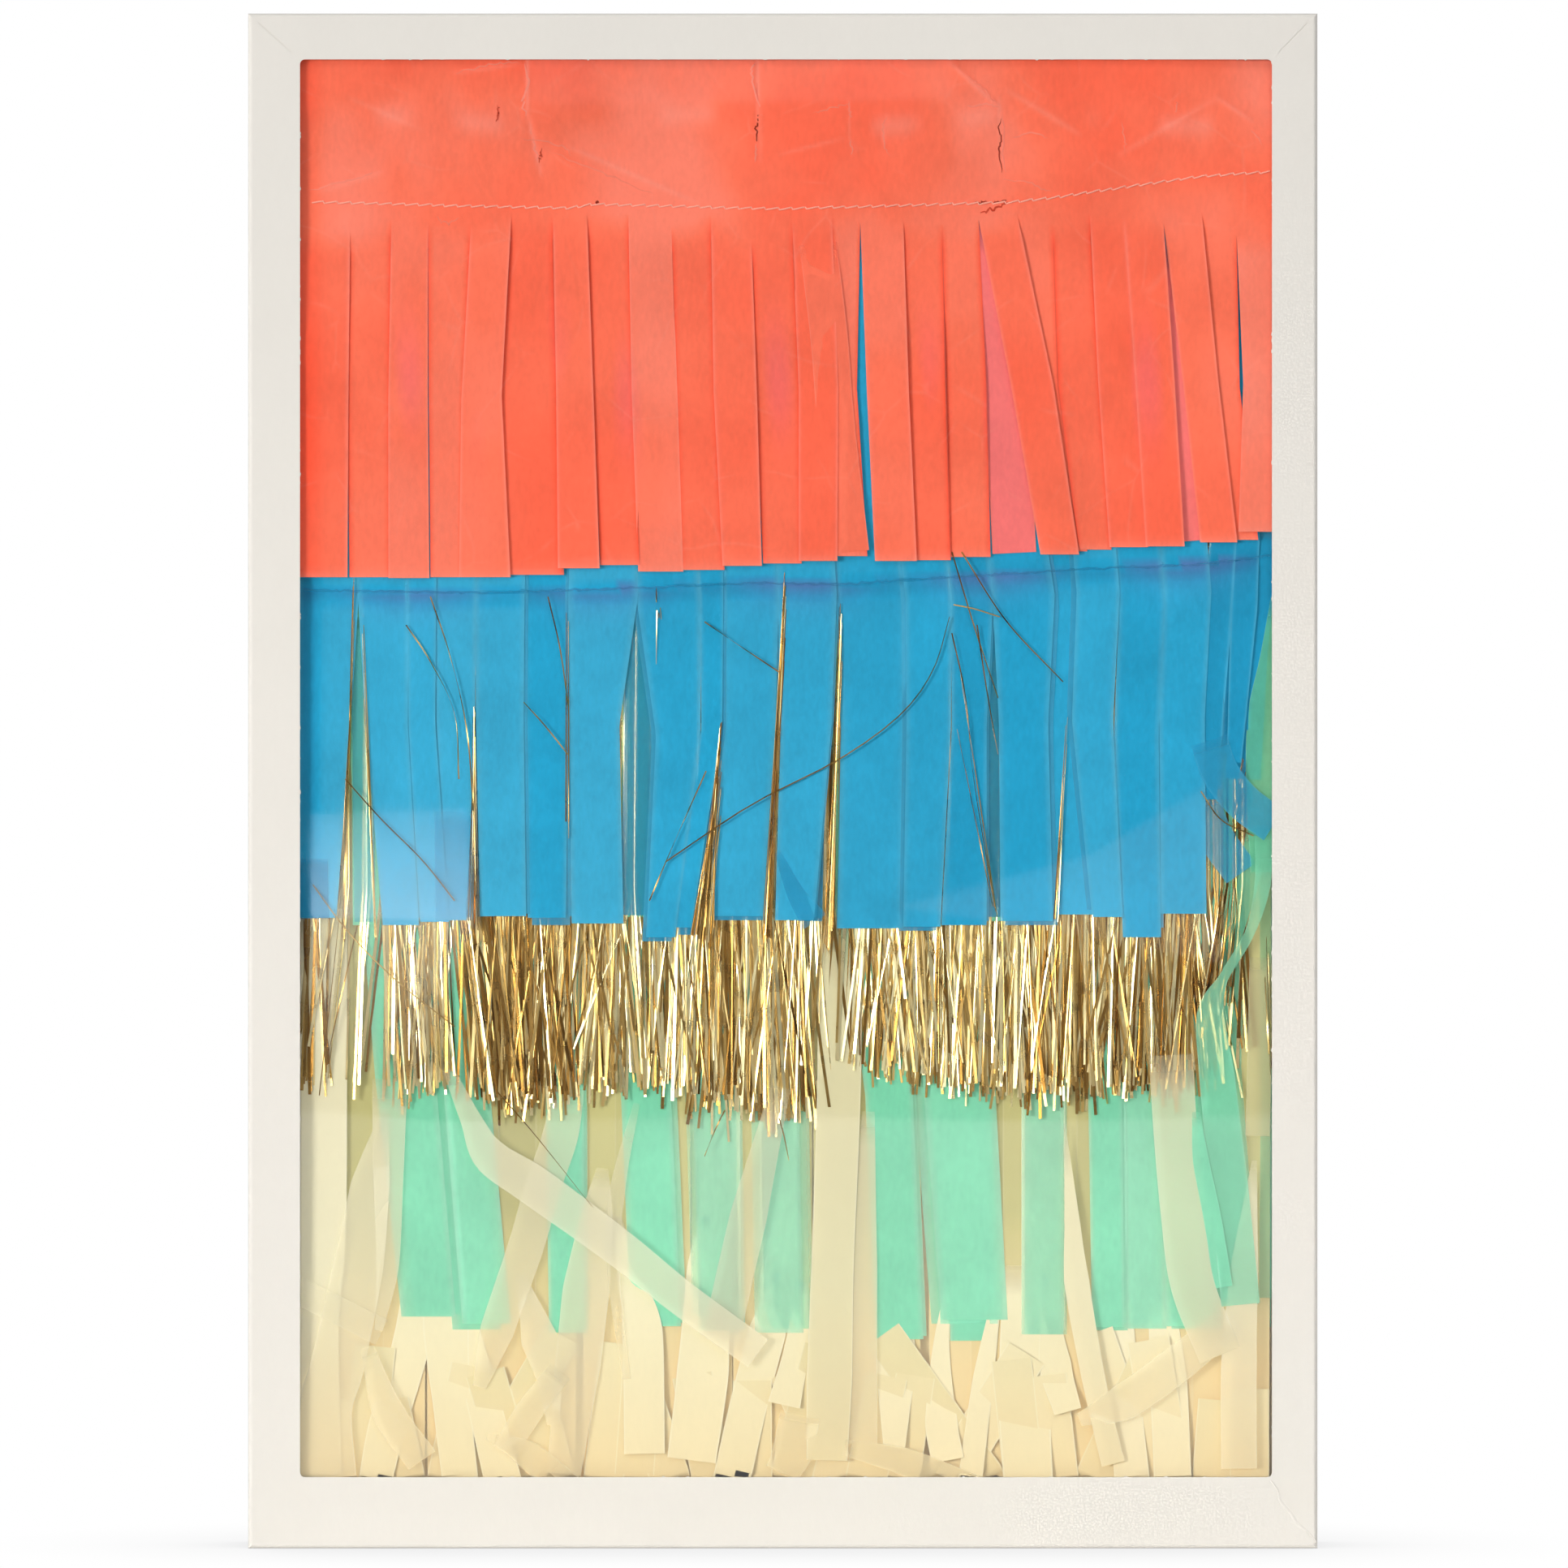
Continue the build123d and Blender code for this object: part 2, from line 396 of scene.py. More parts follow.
@dataclass
class Comb:
    """A row of fringe: one sheet with an uncut head, cut into strips below it.

    A strip's sides run through the places given at the levels, level 0 being the slit's top
    and 1 the hem. Neighbouring strips share the points of the head.

    Args:
        top_z: height of the sheet's top edge.
        slit_x, slit_z: where the slits start, with the sheet's two sides as first and last.
        levels: shares of a strip's length at which its sides are given, without 0.
        left_x, right_x: the strips' sides at each level.
        hem_z: height of each strip's cut end.
        columns, head_rows, strip_rows: quads across a strip, down the head and down a strip.
    """

    top_z: float
    slit_x: Array
    slit_z: Array
    levels: Sequence[float]
    left_x: Array
    right_x: Array
    hem_z: Array
    columns: int = 3
    head_rows: int = 6
    strip_rows: int = 24

    def surface(self, relief: Relief) -> Surface:
        """Builds the sheet, one point thick.

        Args:
            relief: the sheet's y from x, z, share down the strip, share across it and strip.

        Returns:
            The sheet, with each point's strip number, share down it and across it as marks.
        """
        strips = len(self.hem_z)
        head_at = np.linspace(0, strips, strips * self.columns + 1)
        head_x = np.interp(head_at, np.arange(strips + 1), self.slit_x)
        head_end = np.interp(head_at, np.arange(strips + 1), self.slit_z)
        down = np.linspace(0, 1, self.head_rows + 1)[:, None]
        head = [
            np.broadcast_to(head_x, (len(down), len(head_x))),
            self.top_z + (head_end - self.top_z) * down,
            np.zeros((len(down), len(head_x))),
            np.broadcast_to(np.mod(head_at, 1), (len(down), len(head_x))),
            np.broadcast_to(np.minimum(head_at, strips - 1e-6).astype(int), (len(down), len(head_x))),
        ]
        u = np.linspace(0, 1, self.columns + 1)
        t = np.linspace(0, 1, self.strip_rows + 1)[1:]
        knots = [0.0, *self.levels]
        left = np.vstack([self.slit_x[:-1], np.atleast_2d(self.left_x)])
        right = np.vstack([self.slit_x[1:], np.atleast_2d(self.right_x)])
        sides = [np.stack([np.interp(t, knots, edge[:, s]) for s in range(strips)]) for edge in (left, right)]
        x = sides[0][..., None] * (1 - u) + sides[1][..., None] * u
        start = self.slit_z[:-1, None] * (1 - u) + self.slit_z[1:, None] * u
        z = start[:, None] + (self.hem_z[:, None, None] - start[:, None]) * t[None, :, None]
        strip = np.broadcast_to(np.arange(strips)[:, None, None], x.shape)
        body = [x, z, np.broadcast_to(t[None, :, None], x.shape), np.broadcast_to(u, x.shape), strip]
        flat = [np.concatenate([a.ravel(), b.ravel()]) for a, b in zip(head, body)]
        points = xyz(flat[0], relief(*flat), flat[1])
        index = np.arange(head[0].size).reshape(head[0].shape)
        tops = index[-1][np.arange(strips)[:, None] * self.columns + np.arange(self.columns + 1)]
        below = np.arange(x.size).reshape(x.shape) + head[0].size
        teeth = np.concatenate([tops[:, None], below], axis=1)
        sheet = Surface(points, np.concatenate([quads_of(index), quads_of(teeth)]))
        return sheet.marked(strip=flat[4], down=flat[2], across=flat[3])


def second_ply(comb: Comb, shift: Array, longer: Array) -> Comb:
    """The sheet behind a row of fringe: its strips lie a little aside and end elsewhere.

    Args:
        comb: the first ply.
        shift: how far each strip lies to the right, in metres.
        longer: how much lower each strip ends, in metres.

    Returns:
        The second ply, of a coarser mesh.
    """
    return replace(
        comb,
        left_x=comb.left_x + shift,
        right_x=comb.right_x + shift,
        hem_z=comb.hem_z - longer,
        columns=5,
        strip_rows=comb.strip_rows // 2,
    )


class Nodes:
    """Short ways to add and join nodes of one tree."""

    def __init__(self, tree: bpy.types.NodeTree) -> None:
        """Keeps the tree and clears it."""
        self.tree = tree
        tree.nodes.clear()

    def add(
        self, kind: str, inputs: dict[str | int, object] | None = None, **settings: object
    ) -> bpy.types.ShaderNode:
        """Adds a node.

        Args:
            kind: the node's type, without ShaderNode.
            inputs: values or output sockets for its inputs, by name or number.
            settings: the node's own settings.

        Returns:
            The node.
        """
        node = self.tree.nodes.new("ShaderNode" + kind)
        for name, value in settings.items():
            setattr(node, name, value)
        for name, value in (inputs or {}).items():
            if isinstance(value, bpy.types.NodeSocket):
                self.tree.links.new(value, node.inputs[name])
            else:
                node.inputs[name].default_value = value
        return node

    def math(self, operation: str, a: object, b: object = 0.0, clamp: bool = False) -> bpy.types.NodeSocket:
        """The result of one sum of two numbers or sockets."""
        return self.add("Math", {0: a, 1: b}, operation=operation, use_clamp=clamp).outputs[0]

    def mix(self, share: object, a: object, b: object, blend: str = "MIX") -> bpy.types.NodeSocket:
        """A colour mixed from two.

        Args:
            share: of b, a number or socket.
            a, b: colours or sockets.
            blend: the blend mode.

        Returns:
            The mixed colour's socket.
        """
        node = self.add("Mix", data_type="RGBA", blend_type=blend)
        for place, value in ((0, share), (6, a), (7, b)):
            if isinstance(value, bpy.types.NodeSocket):
                self.tree.links.new(value, node.inputs[place])
            else:
                node.inputs[place].default_value = value
        return node.outputs[2]

    def clamped(self, value: bpy.types.NodeSocket, times: float = 1.0) -> bpy.types.NodeSocket:
        """A value, or so many times it, held between 0 and 1."""
        return self.math("MULTIPLY", value, times, clamp=True)

    def mark(self, name: str) -> bpy.types.NodeSocket:
        """A point's own value, by the name that its mesh gives it."""
        return self.add("Attribute", attribute_name=name, attribute_type="GEOMETRY").outputs["Fac"]

    def place(self) -> bpy.types.NodeSocket:
        """Object coordinates."""
        return self.add("TexCoord").outputs["Object"]


def shader_group(
    name: str, inputs: dict[str, str], outputs: dict[str, str]
) -> tuple[bpy.types.NodeTree, "Nodes", bpy.types.Node, bpy.types.Node]:
    """Starts a shader node group.

    Args:
        name: of the group.
        inputs, outputs: socket type by socket name, without NodeSocket.

    Returns:
        The tree, its helper, the group's input node and its output node.
    """
    tree = bpy.data.node_groups.new(name, "ShaderNodeTree")
    for direction, sockets in (("INPUT", inputs), ("OUTPUT", outputs)):
        for label, kind in sockets.items():
            tree.interface.new_socket(label, in_out=direction, socket_type="NodeSocket" + kind)
    nodes = Nodes(tree)
    start = tree.nodes.new("NodeGroupInput")
    end = tree.nodes.new("NodeGroupOutput")
    return tree, nodes, start, end


def paper_grain_group() -> bpy.types.NodeTree:
    """Fibres and mottle of paper: long noise for the fibres, cloudy noise for the pulp.

    Returns:
        The group.
    """
    tree, nodes, start, end = shader_group(
        "paper grain",
        {"Vector": "Vector", "Colour": "Color", "Fibre Scale": "Float", "Contrast": "Float"},
        {"Colour": "Color", "Height": "Float"},
    )
    stretch = nodes.add("Mapping", {"Vector": start.outputs["Vector"], "Scale": (1.0, 1.0, 0.45)})
    fibre = nodes.add(
        "TexNoise",
        {
            "Vector": stretch.outputs[0],
            "Scale": start.outputs["Fibre Scale"],
            "Detail": 4.0,
            "Roughness": 0.7,
        },
    )
    pulp = nodes.add("TexNoise", {"Vector": start.outputs["Vector"], "Scale": 55.0, "Detail": 3.0})
    both = nodes.math("SUBTRACT", fibre.outputs["Fac"], 0.5)
    cloud = nodes.math("MULTIPLY", nodes.math("SUBTRACT", pulp.outputs["Fac"], 0.5), 1.3)
    grain = nodes.math("MULTIPLY", nodes.math("ADD", both, cloud), start.outputs["Contrast"])
    value = nodes.math("ADD", grain, 1.0)
    shade = nodes.add("HueSaturation", {"Color": start.outputs["Colour"], "Value": value})
    tree.links.new(shade.outputs[0], end.inputs["Colour"])
    tree.links.new(fibre.outputs["Fac"], end.inputs["Height"])
    return tree


def crumple_group() -> bpy.types.NodeTree:
    """Fine handling creases: distance to the edges of warped cells.

    Returns:
        The group.
    """
    tree, nodes, start, end = shader_group(
        "handling creases", {"Vector": "Vector", "Scale": "Float"}, {"Height": "Float", "Mask": "Float"}
    )
    warp = nodes.add("TexNoise", {"Vector": start.outputs["Vector"], "Scale": 35.0, "Detail": 2.0})
    bend = nodes.add("VectorMath", {0: warp.outputs["Color"], 1: (0.012, 0.012, 0.012)}, operation="MULTIPLY")
    moved = nodes.add("VectorMath", {0: start.outputs["Vector"], 1: bend.outputs[0]}, operation="ADD")
    cells = nodes.add(
        "TexVoronoi",
        {"Vector": moved.outputs[0], "Scale": start.outputs["Scale"]},
        feature="DISTANCE_TO_EDGE",
    )
    near = nodes.math("MULTIPLY", cells.outputs["Distance"], 5.0, clamp=True)
    line = nodes.math("SUBTRACT", 1.0, nodes.math("MULTIPLY", cells.outputs["Distance"], 45.0), clamp=True)
    gaps = nodes.add("TexNoise", {"Vector": start.outputs["Vector"], "Scale": 95.0, "Detail": 2.0})
    kept = nodes.math("MULTIPLY", nodes.math("SUBTRACT", gaps.outputs["Fac"], 0.47), 7.0, clamp=True)
    tree.links.new(near, end.inputs["Height"])
    tree.links.new(nodes.math("MULTIPLY", line, kept), end.inputs["Mask"])
    return tree


@dataclass
class Groups:
    """Node groups that several finishes share."""

    grain: bpy.types.NodeTree
    crumple: bpy.types.NodeTree


def new_material(name: str) -> tuple[bpy.types.Material, Nodes]:
    """An empty node material and the helper for its tree.

    Args:
        name: of the material.

    Returns:
        The material and its helper.
    """
    material = bpy.data.materials.new(name)
    material.use_nodes = True
    return material, Nodes(material.node_tree)


def close_material(nodes: Nodes, shader: bpy.types.ShaderNode) -> None:
    """Joins a shader to the material's surface."""
    output = nodes.add("OutputMaterial")
    nodes.tree.links.new(shader.outputs[0], output.inputs["Surface"])


@dataclass(frozen=True)
class Finish:
    """What a piece is made of: the material's name, and a surface slot name that nothing here reads."""

    name: str
    slot: str

    def inputs(self, nodes: Nodes, groups: Groups) -> dict[str, object]:
        """Builds what the finish's shader is fed with.

        Args:
            nodes: helper of the material's tree.
            groups: the shared node groups.

        Returns:
            Values and sockets by the shader's input names.
        """
        raise NotImplementedError

    def material(self, groups: Groups) -> bpy.types.Material:
        """Builds the material.

        Args:
            groups: the shared node groups.

        Returns:
            The finish's material.
        """
        material, nodes = new_material(self.name)
        close_material(nodes, nodes.add("BsdfPrincipled", self.inputs(nodes, groups)))
        return material


@dataclass(frozen=True)
class TissueFinish(Finish):
    """Thin coloured paper whose opacity and tone differ from strip to strip.

    The mesh gives tone (darker or lighter, in many places painted shade), sheer (opacity), a tint towards
    a second colour (painted reflected light and painted shade, browner toward the bottom) and a paling
    (whitened creases, and painted highlights on cut sides). A tone below -1 goes on into a deep colour,
    painted shade of cracks and slits.
    """

    colour: Colour
    shade: Colour
    worn: Colour
    bleed: Colour
    handled: float = 0.0
    fibre_scale: float = 1100.0
    contrast: float = 0.17
    roughness: float = 0.8
    crack_shade_depth: float = 0.25

    def inputs(self, nodes: Nodes, groups: Groups) -> dict[str, object]:
        """Tone, cracks, dye and wear over the paper's grain.

        Args:
            nodes: helper of the material's tree.
            groups: the shared node groups.

        Returns:
            Values and sockets by the shader's input names.
        """
        place = nodes.place()
        tone = nodes.mark("tone")
        darker = nodes.clamped(tone, -1.0)
        base = nodes.mix(darker, (*self.colour, 1), (*self.shade, 1))
        # Tones below -1 go on into a deep colour: painted shade of cracks and slits.
        deep = tuple(self.crack_shade_depth * part for part in self.shade)
        beyond = nodes.math("SUBTRACT", nodes.math("MULTIPLY", tone, -1.0), 1.0, clamp=True)
        base = nodes.mix(beyond, base, (*deep, 1))
        paler = nodes.clamped(tone)
        base = nodes.mix(paler, base, (*self.worn, 1))
        # Tint towards a second colour: painted reflected light and painted shade on some rows, browner
        # painted shade toward the bottom.
        base = nodes.mix(nodes.mark("bleed"), base, (*self.bleed, 1))
        # Paler: whitened creases, and painted highlight on cut sides.
        base = nodes.mix(nodes.mark("worn"), base, (*self.worn, 1))
        crumple = nodes.add("Group", {"Vector": place, "Scale": 60.0}, node_tree=groups.crumple)
        base = nodes.mix(nodes.math("MULTIPLY", crumple.outputs["Mask"], self.handled), base, (*self.worn, 1))
        grain = nodes.add(
            "Group",
            {"Vector": place, "Colour": base, "Fibre Scale": self.fibre_scale, "Contrast": self.contrast},
            node_tree=groups.grain,
        )
        relief = nodes.math("MULTIPLY", crumple.outputs["Height"], 0.2 + self.handled)
        height = nodes.math("ADD", relief, nodes.math("MULTIPLY", grain.outputs["Height"], 0.25))
        bump = nodes.add("Bump", {"Height": height, "Strength": 0.5, "Distance": 0.0002})
        back = nodes.add("NewGeometry").outputs["Backfacing"]
        alpha = nodes.math("MULTIPLY", nodes.mark("sheer"), nodes.math("SUBTRACT", 1.0, back))
        return {
            "Base Color": grain.outputs["Colour"],
            "Roughness": self.roughness,
            "Specular IOR Level": 0.08,
            "Alpha": alpha,
            "Normal": bump.outputs[0],
        }


@dataclass(frozen=True)
class FoilFinish(Finish):
    """Metallised film cut into narrow strands, each with its own tone: a brighter or darker base colour that
    paints its reflection.
    """

    bright: Colour
    middle: Colour
    dark: Colour
    roughness: float = 0.3

    def inputs(self, nodes: Nodes, groups: Groups) -> dict[str, object]:
        """Two slopes of tone, and the film's faint waviness.

        Args:
            nodes: helper of the material's tree.
            groups: the shared node groups.

        Returns:
            Values and sockets by the shader's input names.
        """
        tone = nodes.mark("tone")
        low = nodes.clamped(nodes.math("ADD", tone, 1.0))
        base = nodes.mix(low, (*self.dark, 1), (*self.middle, 1))
        base = nodes.mix(nodes.clamped(tone), base, (*self.bright, 1))
        noise = nodes.add("TexNoise", {"Vector": nodes.place(), "Scale": 260.0, "Detail": 1.0})
        spread = nodes.math("MULTIPLY", noise.outputs["Fac"], 0.3)
        bump = nodes.add("Bump", {"Height": noise.outputs["Fac"], "Strength": 0.06, "Distance": 0.0002})
        return {
            "Base Color": base,
            "Metallic": 1.0,
            "Roughness": nodes.math("ADD", spread, self.roughness - 0.15),
            "Normal": bump.outputs[0],
        }


@dataclass(frozen=True)
class CardFinish(Finish):
    """Matt uncoated card with a fine tooth and a few specks."""

    colour: Colour
    speck: Colour
    speck_size: float = 0.035

    def inputs(self, nodes: Nodes, groups: Groups) -> dict[str, object]:
        """Rare specks in plain pulp, and its tooth.

        Args:
            nodes: helper of the material's tree.
            groups: the shared node groups.

        Returns:
            Values and sockets by the shader's input names.
        """
        place = nodes.place()
        specks = nodes.add("TexVoronoi", {"Vector": place, "Scale": 90.0, "Randomness": 1.0})
        small = nodes.math("LESS_THAN", specks.outputs["Distance"], self.speck_size)
        chosen = nodes.add("SeparateColor", {0: specks.outputs["Color"]})
        rare = nodes.math("GREATER_THAN", chosen.outputs[0], 0.93)
        base = nodes.mix(nodes.math("MULTIPLY", small, rare), (*self.colour, 1), (*self.speck, 1))
        grain = nodes.add(
            "Group",
            {"Vector": place, "Colour": base, "Fibre Scale": 700.0, "Contrast": 0.035},
            node_tree=groups.grain,
        )
        bump = nodes.add("Bump", {"Height": grain.outputs["Height"], "Strength": 0.12, "Distance": 0.0002})
        return {
            "Base Color": grain.outputs["Colour"],
            "Roughness": 0.62,
            "Specular IOR Level": 0.3,
            "Normal": bump.outputs[0],
        }


@dataclass(frozen=True)
class FilmFinish(Finish):
    """Clear film of the window, with faint waves in it."""

    tint: Colour
    ior: float = 1.46

    def inputs(self, nodes: Nodes, groups: Groups) -> dict[str, object]:
        """Clear film: slow waves, and dust that dulls it.

        Args:
            nodes: helper of the material's tree.
            groups: the shared node groups.

        Returns:
            Values and sockets by the shader's input names.
        """
        place = nodes.place()
        wave = nodes.add("TexNoise", {"Vector": place, "Scale": 9.0, "Detail": 1.0})
        dust = nodes.add("TexNoise", {"Vector": place, "Scale": 40.0, "Detail": 3.0})
        rough = nodes.math("MULTIPLY", dust.outputs["Fac"], 0.03)
        bump = nodes.add("Bump", {"Height": wave.outputs["Fac"], "Strength": 0.25, "Distance": 0.0004})
        return {
            "Base Color": (*self.tint, 1),
            "Roughness": rough,
            "IOR": self.ior,
            "Transmission Weight": 1.0,
            "Normal": bump.outputs[0],
        }


@dataclass(frozen=True)
class ThreadFinish(Finish):
    """Twisted sewing thread: slanting plies along it."""

    colour: Colour
    shade: Colour

    def inputs(self, nodes: Nodes, groups: Groups) -> dict[str, object]:
        """Plies that slant along the thread.

        Args:
            nodes: helper of the material's tree.
            groups: the shared node groups.

        Returns:
            Values and sockets by the shader's input names.
        """
        place = nodes.place()
        turn = nodes.add("Mapping", {"Vector": place, "Rotation": (0.0, math.radians(35), 0.0)})
        plies = nodes.add("TexWave", {"Vector": turn.outputs[0], "Scale": 900.0, "Distortion": 2.0})
        base = nodes.mix(plies.outputs["Fac"], (*self.colour, 1), (*self.shade, 1))
        grain = nodes.add(
            "Group",
            {"Vector": place, "Colour": base, "Fibre Scale": 2500.0, "Contrast": 0.2},
            node_tree=groups.grain,
        )
        bump = nodes.add("Bump", {"Height": plies.outputs["Fac"], "Strength": 0.4, "Distance": 0.0001})
        return {"Base Color": grain.outputs["Colour"], "Roughness": 0.8, "Normal": bump.outputs[0]}


CORAL_TISSUE = TissueFinish(
    "coral tissue",
    "coral_tissue",
    colour=(1.0, 0.176, 0.094),
    shade=(1.0, 0.083, 0.033),
    worn=(1.0, 0.315, 0.232),
    bleed=(0.95, 0.148, 0.222),
    handled=0.14,
    contrast=0.26,
)
BLUE_TISSUE = TissueFinish(
    "blue tissue",
    "blue_tissue",
    colour=(0.015, 0.37, 0.63),
    shade=(0.006, 0.204, 0.389),
    worn=(0.105, 0.51, 0.73),
    bleed=(0.111, 0.157, 0.426),
    contrast=0.36,
)
MINT_TISSUE = TissueFinish(
    "mint tissue",
    "mint_tissue",
    colour=(0.255, 0.8, 0.505),
    shade=(0.11, 0.54, 0.315),
    worn=(0.5, 0.87, 0.64),
    bleed=(0.49, 0.63, 0.29),
    contrast=0.3,
)
CREAM_TISSUE = TissueFinish(
    "cream tissue",
    "cream_tissue",
    colour=(0.91, 0.84, 0.55),
    shade=(0.56, 0.52, 0.22),
    worn=(0.95, 0.91, 0.7),
    bleed=(0.87, 0.64, 0.305),
    contrast=0.08,
)
GOLD_FOIL = FoilFinish(
    "gold foil", "gold_foil", bright=(0.92, 0.83, 0.48), middle=(0.66, 0.455, 0.15), dark=(0.26, 0.13, 0.025)
)
WHITE_CARD = CardFinish("white card", "white_card", colour=(0.76, 0.727, 0.672), speck=(0.51, 0.47, 0.415))
CLEAR_FILM = FilmFinish("clear film", "clear_pane", (1.0, 1.0, 1.0))
PALE_THREAD = ThreadFinish("pale thread", "thread", (1.0, 0.5, 0.38), (0.9, 0.28, 0.2))


@dataclass
class Wardrobe:
    """The materials of all finishes, built once."""

    groups: Groups
    made: dict[str, bpy.types.Material] = field(default_factory=dict)

    def __getitem__(self, finish: Finish) -> bpy.types.Material:
        """The finish's material, made at its first use.

        Args:
            finish: what a piece is made of.

        Returns:
            The material.
        """
        if finish.name not in self.made:
            self.made[finish.name] = finish.material(self.groups)
        return self.made[finish.name]

    def dress(self, node: str, finish: Finish) -> bpy.types.Object:
        """Gives a CAD node its finish.

        Args:
            node: the node's name.
            finish: what it is made of.

        Returns:
            The node's object.
        """
        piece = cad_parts[node]
        for slot in piece.material_slots:
            slot.material = self[finish]
        log.info("dressed %s in %s", node, finish.name)
        return piece

    def hang(
        self, surface: Surface, name: str, finish: Finish, body: str, replaced: Sequence[str] = ()
    ) -> bpy.types.Object:
        """Makes a piece and fixes it to a body.

        Args:
            surface: a closed surface.
            name: of the piece.
            finish: what it is made of.
            body: the CAD body that it moves with.
            replaced: the CAD nodes that it stands for.

        Returns:
            The piece.
        """
        piece = surface.to_object(name, self[finish])
        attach(piece, body)
        if replaced:
            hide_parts(*replaced)
        log.info("made %s of %d quads in %s", name, len(surface.quads), finish.name)
        return piece


@dataclass
class Stack:
    """Places of the folded garland, read from the frame."""

    panels: int = 8
    paper: float = 0.06 * MM
    foil: float = 0.05 * MM
    layer_room: float = 0.2 * MM
    behind_border: float = 2.0 * MM
    front_planes: tuple[float, ...] = (-9.1, -8.7, -8.0, -7.8, -7.35, -7.15)
    seam_z: float = 271.4 * MM
    back_ply_drop: float = 8 * MM

    def __post_init__(self) -> None:
        """Reads the panels' boxes."""
        low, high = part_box("coral_header_1")
        self.left, self.right = low.x, high.x
        self.header_top = high.z
        self.head_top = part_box("blue_fringe_1")[1].z
        self.thickness = len(Layer) * self.layer_room
        self.first_front = low.y
        self.pitch = (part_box("blue_fringe_3")[0].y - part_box("blue_fringe_1")[0].y) / 2
        self.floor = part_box("cream_fringe_2")[0].z
        self.front_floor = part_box("cream_fringe_1")[0].z - self.behind_border
        self.band_low = self.seam_z - self.back_ply_drop

    def front(self, panel: int) -> float:
        """The y of a panel's window side."""
        return self.first_front + (panel - 1) * self.pitch

    def layer_y(self, panel: int, layer: Layer) -> float:
        """The y of the middle of a panel's row: even panels lie the other way round.

        Args:
            panel: its number.
            layer: which row.

        Returns:
            The y, in metres.
        """
        if panel == 1:
            return self.front_planes[layer.value] * MM
        place = layer.value if panel % 2 else Layer.BACK_PLY.value - layer.value
        return self.front(panel) + (place + 0.5) * self.layer_room

    def body(self, panel: int) -> str:
        """The CAD body that holds a panel."""
        return "tray" if panel == self.panels else f"panel_{panel}"


